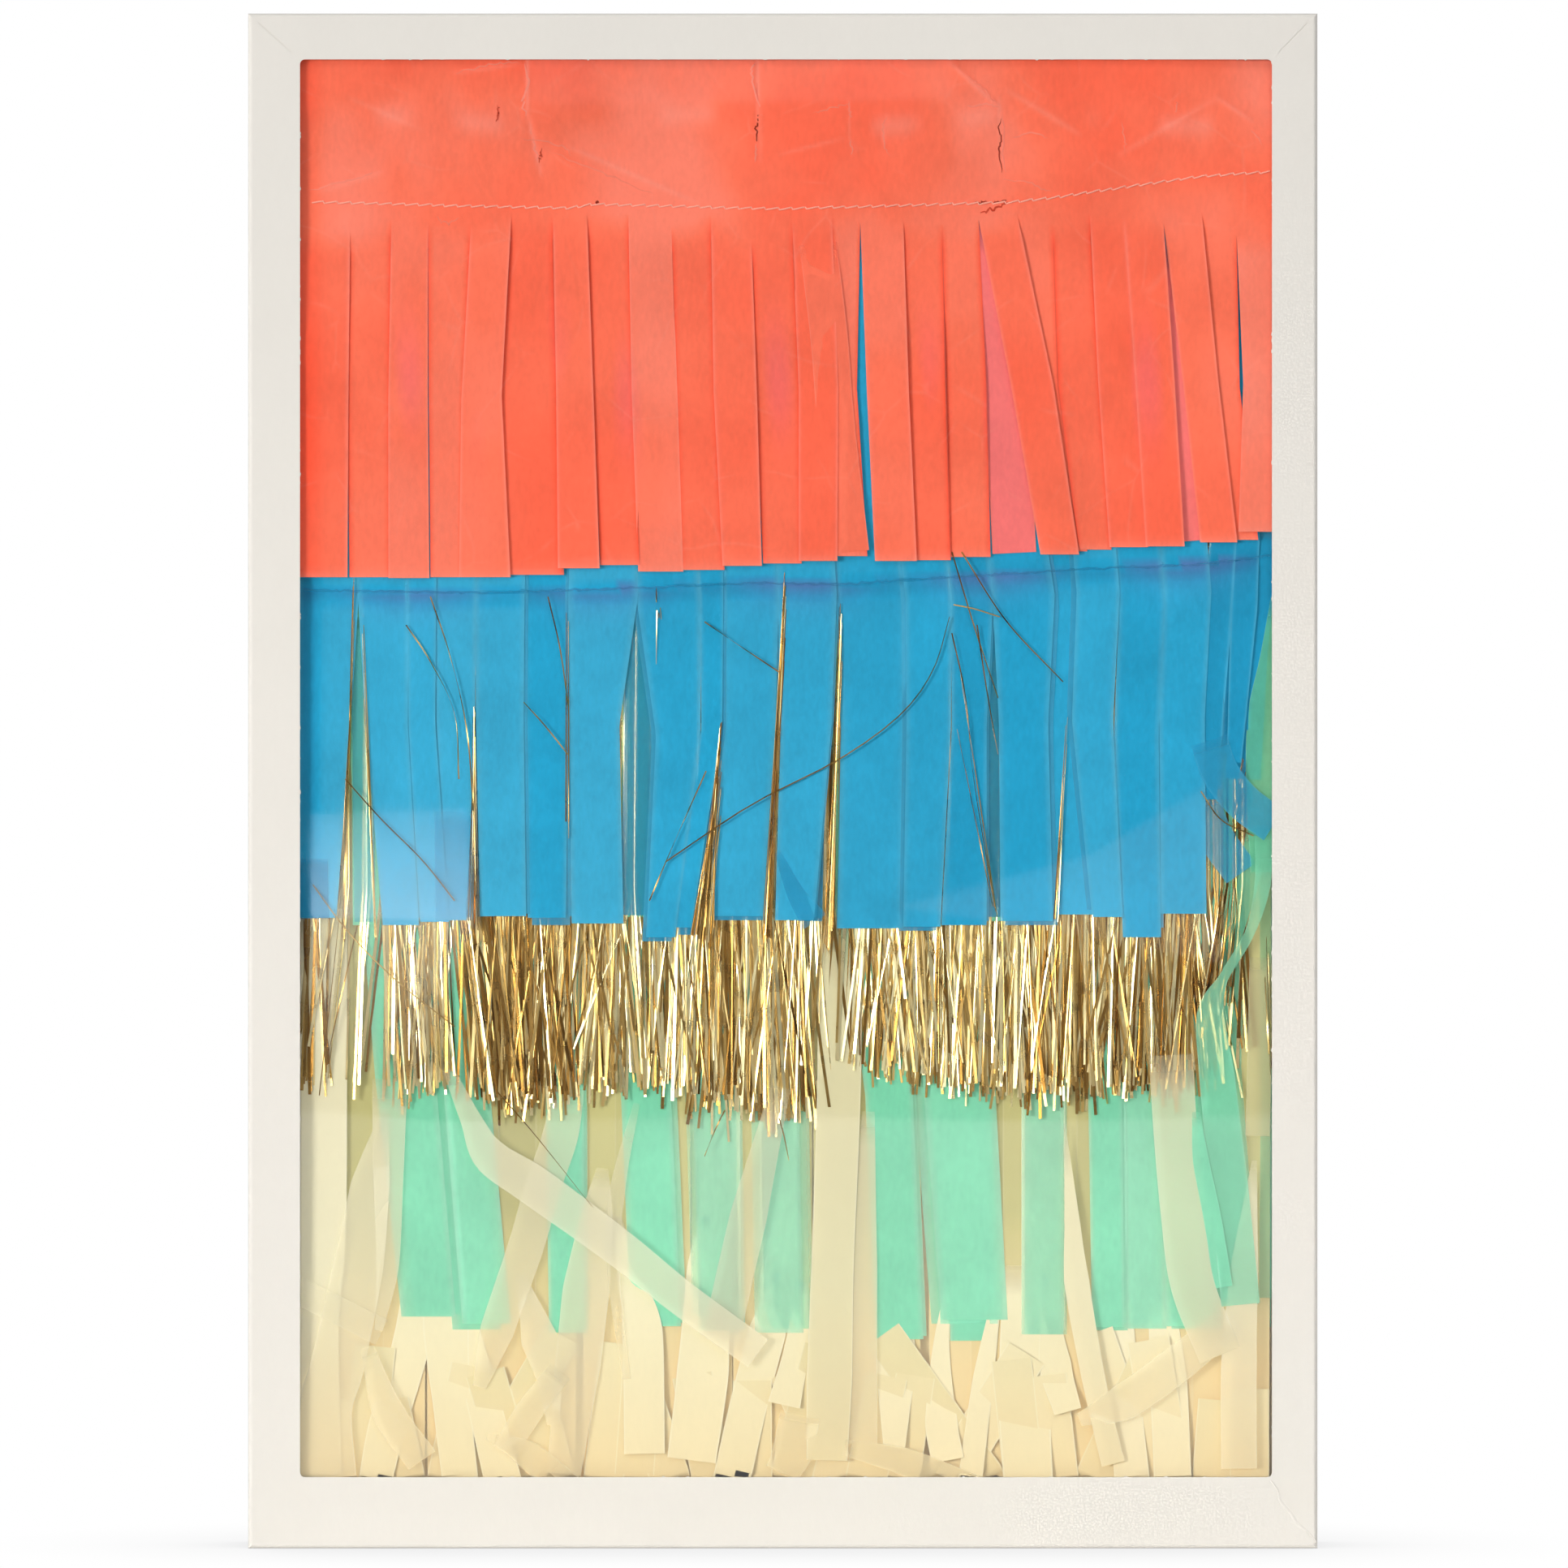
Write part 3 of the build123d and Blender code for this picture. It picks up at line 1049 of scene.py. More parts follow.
@dataclass
class FrontCoral:
    """The coral sheet behind the window: header, crumples and the first row of fringe."""

    stack: Stack
    tops: tuple[float, ...] = (
        366, 431, 482, 527, 580, 630, 681, 723, 774, 827, 876, 926, 976, 1025, 1060, 1113, 1161,
        1206, 1253, 1297, 1343, 1385, 1434, 1481, 1524, 1569,
    )
    top_rows: tuple[float, ...] = (
        285, 285, 270, 272, 276, 264, 264, 264, 262, 278, 264, 296, 270, 262, 272, 272, 275,
        270, 262, 275, 262, 265, 275, 262, 290, 290,
    )
    lefts: tuple[float, ...] = (
        366, 431, 479, 531, 566, 614, 688, 740, 787, 839, 891, 941, 985, 1029, 1079, 1129, 1171,
        1283, 1292, 1330, 1368, 1413, 1480, 1505, 1527,
    )
    rights: tuple[float, ...] = (
        427, 480, 528, 568, 628, 694, 738, 788, 841, 892, 938, 987, 1031, 1068, 1129, 1171, 1220,
        1329, 1339, 1369, 1414, 1459, 1524, 1550, 1569,
    )
    hems: tuple[float, ...] = (
        711, 711, 712, 711, 711, 708, 700, 696, 704, 702, 697, 694, 691, 685, 691, 690, 686,
        683, 679, 677, 674, 673, 668, 665, 655,
    )
    mid_lefts: tuple[float, ...] = (
        366, 429, 480, 530, 570, 617, 687, 731, 780, 835, 881, 933, 986, 1033, 1070, 1120, 1168,
        1248, 1256, 1305, 1355, 1401, 1460, 1497, 1534,
    )
    mid_rights: tuple[float, ...] = (
        427, 478, 525, 569, 616, 685, 729, 779, 833, 879, 931, 984, 1031, 1054, 1118, 1164, 1214,
        1296, 1305, 1354, 1399, 1446, 1499, 1526, 1569,
    )
    forward: tuple[int, ...] = (17, 21, 24)
    forward_lift: float = -0.32 * MM
    rearward: tuple[int, ...] = (16, 18, 23)
    rearward_lift: float = 0.2 * MM
    palest: int = -1
    palest_tone: float = 0.4
    mid_px: float = -1.9
    edge_px: float = -0.8
    height_of_ridges: float = 0.35 * MM
    room: float = 0.38 * MM
    frontmost: float = -9.95 * MM
    rearmost: float = -9.02 * MM

    def ridges(self, x: Array, z: Array) -> tuple[Array, Array]:
        """Named crumples of the header: narrow bells across, fading at both ends.

        Args:
            x, z: places on the sheet.

        Returns:
            Height of the crumples, and how whitened the paper is there.
        """
        marks = [
            ((650, 60), (650, 140), 2.2, 1.0), ((650, 140), (666, 215), 2.2, -1.0),
            ((934, 70), (936, 200), 1.8, -1.0), ((1232, 120), (1234, 205), 1.8, -1.0),
            ((612, 110), (613, 170), 1.5, 0.5), ((1045, 120), (1048, 185), 1.4, 0.4),
            ((1092, 140), (1086, 190), 1.4, -0.5), ((1170, 76), (1232, 132), 2.6, 0.8),
            ((390, 236), (470, 212), 3.0, 0.7), ((700, 180), (860, 250), 3.0, 0.7),
            ((560, 90), (640, 78), 2.5, 0.5), ((1240, 110), (1330, 165), 3.5, 0.5),
            ((1500, 120), (1545, 150), 2.6, 0.6), ((960, 190), (1040, 170), 2.2, 0.4),
            ((1380, 190), (1500, 120), 3.0, 0.5), ((430, 120), (520, 160), 3.0, -0.4),
        ]
        height = np.zeros_like(x)
        worn = np.zeros_like(x)
        for (px0, py0), (px1, py1), width, rise in marks:
            start = np.array([PHOTO.x(px0), PHOTO.z(py0)])
            run = np.array([PHOTO.x(px1), PHOTO.z(py1)]) - start
            length = np.linalg.norm(run)
            run /= length
            along = (x - start[0]) * run[0] + (z - start[1]) * run[1]
            off = (x - start[0]) * -run[1] + (z - start[1]) * run[0]
            share = np.clip(along / length, 0, 1)
            miss = np.hypot(off, along - share * length) / PHOTO.span(width)
            bell = np.exp(-(miss**2)) * np.sqrt(np.clip(4 * share * (1 - share), 0, 1) + 0.1)
            height += rise * self.height_of_ridges * bell
            worn += 0.55 * abs(rise) * bell
        band = np.exp(-(((z - PHOTO.z(148 + 8 * np.sin(x * 95))) / PHOTO.span(13)) ** 2))
        patchy = np.clip(np.sin(x * 310 + 1.3) + np.sin(x * 127 + 4.0) - 0.2, 0, 1)
        return height, np.clip(worn + 0.38 * band * patchy, 0, 1)

    def face(self, x: Array, z: Array, t: Array | float = 0.0) -> Array:
        """The header's y: its plane, less the crumples, which fade down the strips.

        Args:
            x, z: places on the sheet.
            t: share down the strips.

        Returns:
            The y of each place.
        """
        lifted = np.clip(1 - t * 1.6, 0.2, 1) * self.crumple(x, z) + self.ridges(x, z)[0]
        return self.stack.layer_y(1, Layer.CORAL) - self.room * (0.85 + np.tanh(lifted / self.room))

    def crumple(self, x: Array, z: Array) -> Array:
        """Height of the header's crumple: broad facets with small ones on them."""
        broad = creases(x, z, np.random.default_rng(5), 36 * MM, 0.85 * MM, 7)
        return broad + creases(x, z, np.random.default_rng(8), 11 * MM, 0.16 * MM, 9)

    def surface(self) -> Surface:
        """The whole sheet, from the top fold to the hems, with its marks.

        Returns:
            The sheet.
        """
        rng = np.random.default_rng(11)
        slit_x = PHOTO.x(self.tops)
        comb = Comb(
            self.stack.header_top - 0.3 * MM,
            slit_x,
            PHOTO.z(self.top_rows),
            [0.5, 1.0],
            PHOTO.x(np.array([self.mid_lefts, self.lefts]) + [[self.mid_px], [self.edge_px]]),
            PHOTO.x(np.array([self.mid_rights, self.rights]) - [[self.mid_px], [self.edge_px]]),
            PHOTO.z(self.hems),
            columns=13,
            head_rows=70,
            strip_rows=50,
        )
        strips = len(self.hems)
        lift = rng.uniform(-0.1, 0.1, strips) * MM + np.where(np.arange(strips) % 2, 0.12, -0.12) * MM
        lean = rng.uniform(-0.22, 0.22, strips) * MM
        wave = rng.uniform(0.05, 0.14, strips) * MM
        phase = rng.uniform(0, 6.28, strips)
        lift[list(self.forward)] = self.forward_lift
        lift[list(self.rearward)] = self.rearward_lift

        def relief(x: Array, z: Array, t: Array, u: Array, strip: Array) -> Array:
            """Header crumple that fades down the strips, where each strip lifts, leans and waves.

            Args:
                x, z: places on the sheet.
                t, u: shares down the strip and across it.
                strip: number of the strip.

            Returns:
                The y of each place.
            """
            i = strip.astype(int)
            own = lift[i] + lean[i] * (u - 0.5) * 2 + wave[i] * np.sin(t * 5 + phase[i])
            return np.clip(self.face(x, z, t) + np.clip(t * 12, 0, 1) * own, self.frontmost, self.rearmost)

        sheet = comb.surface(relief)
        x, z = sheet.points[:, 0], sheet.points[:, 2]
        across, down = sheet.marks["across"], sheet.marks["down"]
        tones = rng.uniform(-0.3, 0.2, strips)
        tones[self.palest] = self.palest_tone
        strip = sheet.marks["strip"].astype(int)
        grow = np.clip(down * 14, 0, 1)
        _, worn = self.ridges(x, z)
        # Darker near the sheet's left side: painted shadow of the window's left edge.
        side = np.exp(-((x - self.stack.left) / (3.0 * MM)) ** 2)
        # Darker where the crumpled header stands forward, less so down the strips: painted shade of the
        # crumples.
        crumple_shade = np.clip(self.crumple(x, z) / (0.5 * MM), -1, 1) * (1 - 0.6 * grow)
        # Darker along the strips' cut sides, most on strips that lie back: painted shadow in the slits.
        behind = np.where(lift[strip] > 0, 1.0, 0.25) * grow
        slit = behind * (np.maximum(1 - across * 10, 0) + np.maximum(across * 10 - 9, 0))
        # Paler cut sides, most on strips lifted forward: painted highlight.
        rim = grow * np.where(lift[strip] < 0, 1.0, 0.3) * np.abs(2 * across - 1) ** 14
        sheet.marked(tone=tones[strip] * grow - 0.5 * side - 0.35 * crumple_shade - 1.25 * slit, sheer=0.97)
        hem = np.clip((down - 0.975) * 40, 0, 1)
        sheet.marked(worn=np.clip(worn * (1 - grow) + 0.5 * rim + 0.35 * hem, 0, 1))
        # Pinker patches round row 470, on the strips only.
        pinker_patches = np.clip(np.sin(x * 420 + 2.0) + np.sin(x * 173 + z * 60) - 0.9, 0, 1)
        row = PHOTO.base_py - z / PHOTO.metres_per_px
        return sheet.marked(bleed=0.3 * pinker_patches * np.exp(-(((row - 470) / 70) ** 2)) * grow)


@dataclass(frozen=True)
class CreaseLine:
    """A sharp crease or crack of the header, standing a hair's breadth off it.

    Args:
        places: pixel column and row of its run.
        width: in pixels.
        tone: above 0 for a whitened crease, below 0 for a dark crack, painted shade.
    """

    places: tuple[tuple[float, float], ...]
    width: float = 2.4
    tone: float = 0.7
    jitter: float = 1.1

    def surface(self, coral: FrontCoral, rng: np.random.Generator, count: int = 16) -> Surface:
        """A jagged sliver that thins out at both ends.

        Args:
            coral: the header that it lies on.
            rng: where the jags are drawn from.
            count: places along it.

        Returns:
            The sliver with its marks.
        """
        path = photo_path(self.places, count)
        path[:, 0] += PHOTO.span(rng.normal(0, self.jitter, count))
        path[:, 2] += PHOTO.span(rng.normal(0, self.jitter, count))
        path[:, 1] = coral.face(path[:, 0], path[:, 2]) - 0.06 * MM
        taper = 0.15 + 0.85 * np.sin(np.linspace(0, math.pi, count)) ** 0.6
        across = across_path(path[None])[0] * (taper * PHOTO.span(self.width) / 2)[:, None]
        sheet = ribbon_surface(path[None], across[None])
        return sheet.marked(tone=min(self.tone, 0), worn=max(self.tone, 0), sheer=0.85, bleed=0)


# Negative tones are painted shade of dark cracks.
CREASES = tuple(CreaseLine(*row) for row in (
    (((645, 79), (652, 100), (645, 122), (648, 143)), 3.0, 0.75),
    (((653, 158), (659, 178), (664, 201)), 2.6, 0.7),
    (((667, 184), (664, 199)), 1.8, -1.7),
    (((613, 130), (612, 150)), 1.4, -1.6),
    (((931, 77), (926, 92), (937, 143)), 2.4, 0.7),
    (((936, 141), (932, 158), (934, 176)), 2.0, -2.0),
    (((932, 176), (931, 199)), 2.0, 0.7),
    (((1192, 131), (1214, 128), (1231, 131)), 2.4, 0.6),
    (((1232, 145), (1234, 173), (1231, 186), (1236, 212)), 2.0, -2.0),
    (((1236, 140), (1238, 172), (1235, 187), (1239, 214)), 2.0, 0.6),
    (((1047, 124), (1048, 147)), 1.8, 0.6),
    (((1047, 171), (1049, 191)), 1.8, 0.6),
    (((1092, 143), (1088, 165), (1094, 191)), 1.8, 0.6),
    (((382, 235), (420, 224), (461, 212)), 2.6, 0.6),
    (((683, 188), (745, 214), (807, 239)), 2.0, 0.45),
    (((640, 170), (690, 178), (705, 190)), 2.0, 0.45),
    (((560, 90), (604, 79), (640, 76)), 2.0, 0.5),
    (((1248, 169), (1270, 164), (1290, 168)), 2.2, 0.5),
    (((1383, 150), (1385, 168), (1387, 186)), 1.6, 0.5),
    (((1541, 160), (1550, 168), (1556, 178)), 2.2, 0.5),
    (((1451, 125), (1448, 138)), 2.0, 0.5),
    (((1192, 92), (1230, 126)), 2.4, 0.4),
    (((1002, 138), (1046, 128)), 1.8, 0.4),
    (((536, 268), (552, 275), (566, 268)), 2.0, 0.4),
    (((688, 282), (712, 288)), 1.8, 0.4),
    (((1234, 220), (1270, 226), (1296, 238)), 2.2, 0.4),
    (((735, 250), (736, 247)), 2.2, -2.0),
    (((1200, 249), (1216, 248)), 1.4, -2.0),
    (((1224, 249), (1240, 247)), 1.4, -2.0),
    (((1206, 262), (1224, 258), (1242, 251)), 2.6, -1.6),
))


def near_edge(sheet: Surface) -> Array:
    """1 at the cut sides of a comb's strips and 0 over their middle: |2 across - 1| ** 10."""
    return np.abs(2 * sheet.marks["across"] - 1) ** 10 * np.clip(sheet.marks["down"] * 6, 0, 1)


@dataclass
class StripLay:
    """How the strips of a row lie: each lifts, leans to a side and waves, from the slit down.

    Args:
        base_y: the plane of the row.
        lift, lean, wave, phase: one value for each strip.
    """

    base_y: float
    lift: Array
    lean: Array
    wave: Array
    phase: Array

    @staticmethod
    def drawn(rng: np.random.Generator, strips: int, base_y: float, play: float) -> "StripLay":
        """Draws a lay at random.

        Args:
            rng: where the values are drawn from.
            strips: how many.
            base_y: the plane of the row.
            play: the most that a strip leaves that plane.

        Returns:
            The lay.
        """
        step = np.where(np.arange(strips) % 2, 0.25, -0.25) * play
        lift = rng.uniform(-0.3, 0.3, strips) * play + step
        lean = rng.uniform(-0.25, 0.25, strips) * play
        wave = rng.uniform(0.05, 0.2, strips) * play
        return StripLay(base_y, lift, lean, wave, rng.uniform(0, 6.28, strips))

    def __call__(
        self, x: Array, z: Array, t: Array, u: Array, strip: Array
    ) -> Array:
        """The sheet's y: base, plus what the strip does, growing over its first third.

        Args:
            x, z: places on the sheet.
            t, u: shares down the strip and across it.
            strip: number of the strip.

        Returns:
            The y of each place.
        """
        i = strip.astype(int)
        own = self.lift[i] + self.lean[i] * (u - 0.5) * 2 + self.wave[i] * np.sin(t * 6 + self.phase[i])
        return self.base_y + np.clip(t * 3, 0, 1) * own


@dataclass
class FrontBlue:
    """The blue row behind the window: strips with gaps between, and loose ends on both sides."""

    stack: Stack
    mid_row: float = 870.0
    mid_left: tuple[float, ...] = (
        366, 450, 503, 537, 586, 646, 701, 808, 864, 891, 962, 1036, 1117, 1173, 1231, 1293, 1321, 1373,
        1429, 1486, 1518,
    )
    mid_right: tuple[float, ...] = (
        432, 502, 536, 585, 645, 700, 763, 863, 890, 956, 1025, 1116, 1172, 1216, 1292, 1320, 1372, 1428,
        1485, 1517, 1545,
    )
    low_left: tuple[float, ...] = (
        367, 471, 517, 550, 591, 650, 704, 796, 831, 873, 955, 1031, 1113, 1160, 1233, 1298, 1346, 1384,
        1431, 1480, 1512,
    )
    low_right: tuple[float, ...] = (
        414, 516, 553, 574, 648, 697, 768, 832, 852, 940, 1003, 1112, 1159, 1216, 1298, 1350, 1384, 1431,
        1487, 1500, 1530,
    )
    hems: tuple[float, ...] = (
        1131, 1140, 1136, 1134, 1129, 1131, 1138, 1155, 1143, 1129, 1134, 1144, 1142, 1140, 1135, 1127,
        1130, 1155, 1126, 985, 940,
    )
    crease_px: tuple[float, ...] = (372, 589, 717, 931, 1047, 1112, 1220, 1329, 1480, 1532, 1567)
    crease_rows: tuple[float, ...] = (727, 730, 727, 718, 720, 714, 708, 701, 695, 688, 684)
    slant_px: float = 7.0
    line_px: float = 1.7
    line_y: float = -8.97 * MM
    joined: float = 0.54
    fixed: float = 0.72
    slanting_from: int = 14
    front_sheer: float = 0.93
    ply_sheer: float = 0.72
    ply_darker: float = 0.5
    crease_depth: float = 0.3 * MM
    crease_reach: float = 13.0
    frontmost: float = -8.9 * MM
    rearmost: float = -8.4 * MM
    ply_room: float = 0.13 * MM
    ply_rearmost: float = -8.16 * MM

    def below_crease(self, x: Array, z: Array) -> Array:
        """How many pixels a place lies below the crease that the coral hem has pressed."""
        row = np.interp(x, PHOTO.x(self.crease_px), self.crease_rows)
        return PHOTO.base_py - z / PHOTO.metres_per_px - row

    def surface(self) -> Surface:
        """The whole row with its marks.

        Returns:
            Both plies and the crease line.
        """
        rng = np.random.default_rng(21)
        strips = len(self.hems)
        share = (self.mid_row - SEWN_ROW) / (np.array(self.hems) - SEWN_ROW)
        edges = np.linspace(*HIDDEN_SIDES, strips + 1)
        lefts, rights = [], []
        joins = (np.array(self.mid_right[:-1]) + np.array(self.mid_left[1:])) / 2
        joins[self.slanting_from :] += self.slant_px
        joins = np.concatenate([[self.mid_left[0]], joins, [self.mid_right[-1] + 8]])
        for middle, low, hidden, join, out in (
            (self.mid_left, self.low_left, edges[:-1], joins[:-1] - 0.6, lefts),
            (self.mid_right, self.low_right, edges[1:], joins[1:] + 0.6, rights),
        ):
            middle, low = np.array(middle, float), np.array(low, float)
            out.append(join)
            nearer = hidden + (middle - hidden) * np.minimum(self.fixed / share, 1)
            out.append(np.where(share < 1, nearer, middle))
            out.append(low)
        comb = Comb(
            self.stack.head_top,
            PHOTO.x(edges),
            np.full(strips + 1, PHOTO.z(SEWN_ROW)),
            [self.joined, self.fixed, 1.0],
            PHOTO.x(np.array(lefts)),
            PHOTO.x(np.array(rights)),
            PHOTO.z(self.hems),
            columns=9,
            head_rows=4,
            strip_rows=76,
        )
        lay = StripLay.drawn(rng, strips, self.stack.layer_y(1, Layer.BLUE), 0.4 * MM)

        def relief(x: Array, z: Array, t: Array, u: Array, strip: Array) -> Array:
            """The strips' own lay, pressed back along the crease.

            Args:
                x, z: places on the sheet.
                t, u: shares down the strip and across it.
                strip: number of the strip.

            Returns:
                The y of each place.
            """
            below = self.below_crease(x, z)
            pressed = self.crease_depth * np.exp(-np.abs(below) / self.crease_reach)
            placed = np.clip(lay(x, z, t, u, strip), self.frontmost, self.rearmost) + pressed
            return np.minimum(placed, self.ply_rearmost - self.ply_room)

        def behind(x: Array, z: Array, t: Array, u: Array, strip: Array) -> Array:
            """The second ply's place: close behind the first."""
            return relief(x, z, t, u, strip) + self.ply_room

        tones = rng.uniform(-0.2, 0.14, strips)
        # The last two strips, at the window's right side, are darker: painted shade.
        tones[-2:] = -0.4
        shift = PHOTO.span(rng.uniform(2.5, 6.5, strips) * rng.choice([-1, 1], strips))
        longer = PHOTO.span(rng.choice([-9.0, -5.0, -3.0, 5.0, 9.0], strips))
        longer[-4:] = -PHOTO.span(12)
        under = second_ply(comb, shift, longer).surface(behind)
        front = self.toned_and_shaded(comb.surface(relief), tones, self.front_sheer)
        # The ply behind is toned darker: painted shade.
        rear = self.toned_and_shaded(under, tones - self.ply_darker, self.ply_sheer)
        return Surface.joined([front, rear, self.crease_shade_line(rng)])

    def crease_shade_line(self, rng: np.random.Generator, count: int = 240) -> Surface:
        """The pressed line along the crease: a dark hair's breadth, tinted purple in patches, as painted
        shade of the crease.

        Args:
            rng: where the values are drawn from.
            count: places along it.

        Returns:
            The line with its marks.
        """
        px = np.linspace(374, 1565, count)
        row = np.interp(px, self.crease_px, self.crease_rows) + rng.normal(0, 0.7, count)
        path = xyz(PHOTO.x(px), self.line_y, PHOTO.z(row))
        across = across_path(path[None]) * PHOTO.span(self.line_px * rng.uniform(0.5, 1.2, (1, count, 1)))
        sheet = ribbon_surface(path[None], across)
        tint_patches = np.clip(0.5 + 0.5 * np.sin(np.repeat(px, 2) * 0.026 + 1.0), 0, 1)
        return sheet.marked(tone=-0.8, worn=0.0, bleed=0.4 * tint_patches, sheer=0.36)

    def toned_and_shaded(self, sheet: Surface, tones: Array, sheer: float) -> Surface:
        """Marks a ply: its strips' tones, paler cut sides as painted highlight, painted light lower down,
        and painted shade along the window's left edge and below the crease, tinted purple there as
        painted reflected light of the coral hem.

        Args:
            sheet: the ply.
            tones: one for each strip.
            sheer: its opacity.

        Returns:
            The ply itself.
        """
        x, z = sheet.points[:, 0], sheet.points[:, 2]
        below = self.below_crease(x, z)
        patch = 0.55 + 0.45 * np.sin(x * 160 + 1.0)
        # Purple tint fading down from the crease, in patches: painted reflected light of the coral hem, and
        # painted shade.
        bleed = 0.75 * patch * np.exp(-np.maximum(below, 0) / 16) * (below > -2)
        # A darker band just below the crease: painted shade.
        line = np.exp(-(((below - 5) / 10) ** 2))
        strip = sheet.marks["strip"].astype(int)
        # Darker near the left side: painted shadow of the window's left edge.
        side = np.exp(-((x - self.stack.left) / (2.2 * MM)) ** 2)
        # Lighter toward the hem: painted light.
        lighter = np.clip((PHOTO.z(870) - z) / PHOTO.span(260), 0, 1) * 0.1
        leftward = 0.22 * np.clip((PHOTO.x(1100) - x) / PHOTO.span(600), 0, 1)
        # Near the cut sides: a little more sheer, and paler as painted highlight.
        edge = near_edge(sheet)
        tone = tones[strip] - 0.9 * side + lighter + leftward - 0.6 * line
        return sheet.marked(tone=tone, sheer=sheer - 0.12 * edge, worn=0.55 * edge, bleed=bleed)


def bottom_shade(sheet: Surface, row: float = 1590.0, over: float = 220.0) -> Array:
    """Painted shade toward the bottom, browning the cream: from none at a pixel row to 1 at a number of
    pixels below it.
    """
    return np.clip((PHOTO.z(row) - sheet.points[:, 2]) / PHOTO.span(over), 0, 1)


def round_the_fold(sheet: Surface, floor: float, turned: float = 0.97) -> Surface:
    """Lets strips that run below the row's fold turn to the back there instead.

    Args:
        sheet: the strips.
        floor: height of the fold.
        turned: share of the run below it that is taken back.

    Returns:
        The sheet itself.
    """
    over = np.maximum(floor - sheet.points[:, 2], 0)
    sheet.points[:, 2] += over * turned
    sheet.points[:, 1] += over
    return sheet


def kept_in(sheet: Surface, give: float = 0.8 * MM) -> Surface:
    """Presses what runs past the panel's sides into its last bit, as a fold does.

    From give inside a side on, a distance d becomes give (1 - exp(-d / give)).

    Args:
        sheet: the strip.
        give: width of that last bit.

    Returns:
        The sheet itself.
    """
    for side, limit in zip((-1, 1), PHOTO.x(PANEL_SIDES)):
        over = np.maximum(side * (sheet.points[:, 0] - limit) + give, 0)
        sheet.points[:, 0] -= side * (over - give * (1 - np.exp(-over / give)))
    return sheet


@dataclass(frozen=True)
class LooseStrip:
    """A strip that lies by itself: where it runs in the photograph, and how.

    Args:
        places: pixel column and row of its run.
        width: in pixels, one for all of it or several along it.
        depth: y in millimetres at its start and end.
        sheer: opacity.
        tone: darker or lighter than its row.
        lean: how much one edge stands forward, in millimetres.
        bleed: least tint towards its paper's second colour.
        behind_mint: depth from which a strip starts behind the mint row.
        late: how late such a strip comes forward, as a power of the share along it.
    """

    places: tuple[tuple[float, float], ...]
    width: float | tuple[float, ...]
    depth: tuple[float, float]
    sheer: float = 0.6
    tone: float = 0.0
    lean: float = 0.1
    bleed: float = 0.0
    behind_mint: float = -7.7
    late: float = 2.6

    def surface(self, count: int = 36) -> Surface:
        """The strip's sheet with its marks: faint where it starts, pale cut sides as painted highlight,
        tinted toward the bottom as painted shade.

        Args:
            count: places along it.

        Returns:
            The strip.
        """
        path = photo_path(self.places, count)
        along = np.linspace(0, 1, count)
        bow = self.late if self.depth[0] > self.behind_mint else 1.0
        path[:, 1] = (self.depth[0] + (self.depth[1] - self.depth[0]) * along**bow) * MM
        widths = np.atleast_1d(np.asarray(self.width, float))
        wide = np.interp(along, np.linspace(0, 1, len(widths)), widths)
        across = across_path(path[None])[0] * PHOTO.span(wide / 2)[:, None]
        across[:, 1] += self.lean * MM * (0.3 + 0.7 * along)
        sheet = kept_in(ribbon_surface(path[None], across[None], RIM_STEPS))
        shown = np.repeat(np.clip(0.3 + 6 * along, 0, 1), len(RIM_STEPS))
        # Tinted toward the bottom: painted shade.
        tint_and_bottom_shade = np.maximum(bottom_shade(sheet) * 0.5, self.bleed)
        # Paler cut sides: painted highlight.
        worn = 0.5 * np.tile(RIM, count)
        return sheet.marked(tone=self.tone, sheer=self.sheer * shown, worn=worn, bleed=tint_and_bottom_shade)


# The darker tones of pieces in the row's gaps and at the window's sides are painted shade.
BLUE_LOOSE = tuple(LooseStrip(*row) for row in (
    (((1560, 640), (1560, 720), (1552, 800), (1546, 900)), 22, (-8.35, -8.35), 0.95, -0.4),
    (((1490, 912), (1504, 952), (1532, 988), (1571, 1017)), 46, (-9.05, -9.3), 0.55, 0.2),
    (((1536, 690), (1540, 800), (1532, 960)), 44, (-8.3, -8.2), 0.95, -0.45),
    (((1480, 985), (1498, 1030), (1530, 1076)), 44, (-8.6, -8.4), 0.5, 0.25),
    (((958, 1050), (980, 1100), (1004, 1136)), (8, 22, 34), (-9.0, -8.95), 0.35, 0.1),
    (((561, 1000), (561, 1060), (562, 1134)), 52, (-9.0, -8.95), 0.3, 0.1),
    (((386, 1058), (386, 1090), (387, 1132)), 36, (-9.0, -8.95), 0.45, -0.6),
    (((786, 690), (789, 900), (785, 1128)), 42, (-8.3, -8.3), 0.62, -0.5),
    (((1222, 730), (1223, 900), (1223, 1130)), 30, (-8.3, -8.3), 0.66, -0.8),
    (((443, 760), (446, 900), (449, 1136)), 26, (-8.3, -8.3), 0.34, -0.2),
    (((572, 850), (578, 960), (582, 1130)), 26, (-8.3, -8.3), 0.5, -0.4),
    (((1004, 700), (1003, 900), (998, 1135)), 30, (-8.3, -8.3), 0.6, -0.5),
))
PINK_LOOSE = tuple(LooseStrip(*row) for row in (
    (((1228, 262), (1240, 480), (1250, 681)), 54, (-8.96, -8.96), 0.95, 0.35, 0.0, 0.45),
    (((1440, 300), (1455, 465), (1470, 666)), 42, (-8.96, -8.96), 0.95, 0.35, 0.0, 0.4),
    (((1008, 300), (1022, 420), (1030, 520), (1048, 680)), 46, (-9.5, -9.55), 0.9, 0.05, 0.05),
))


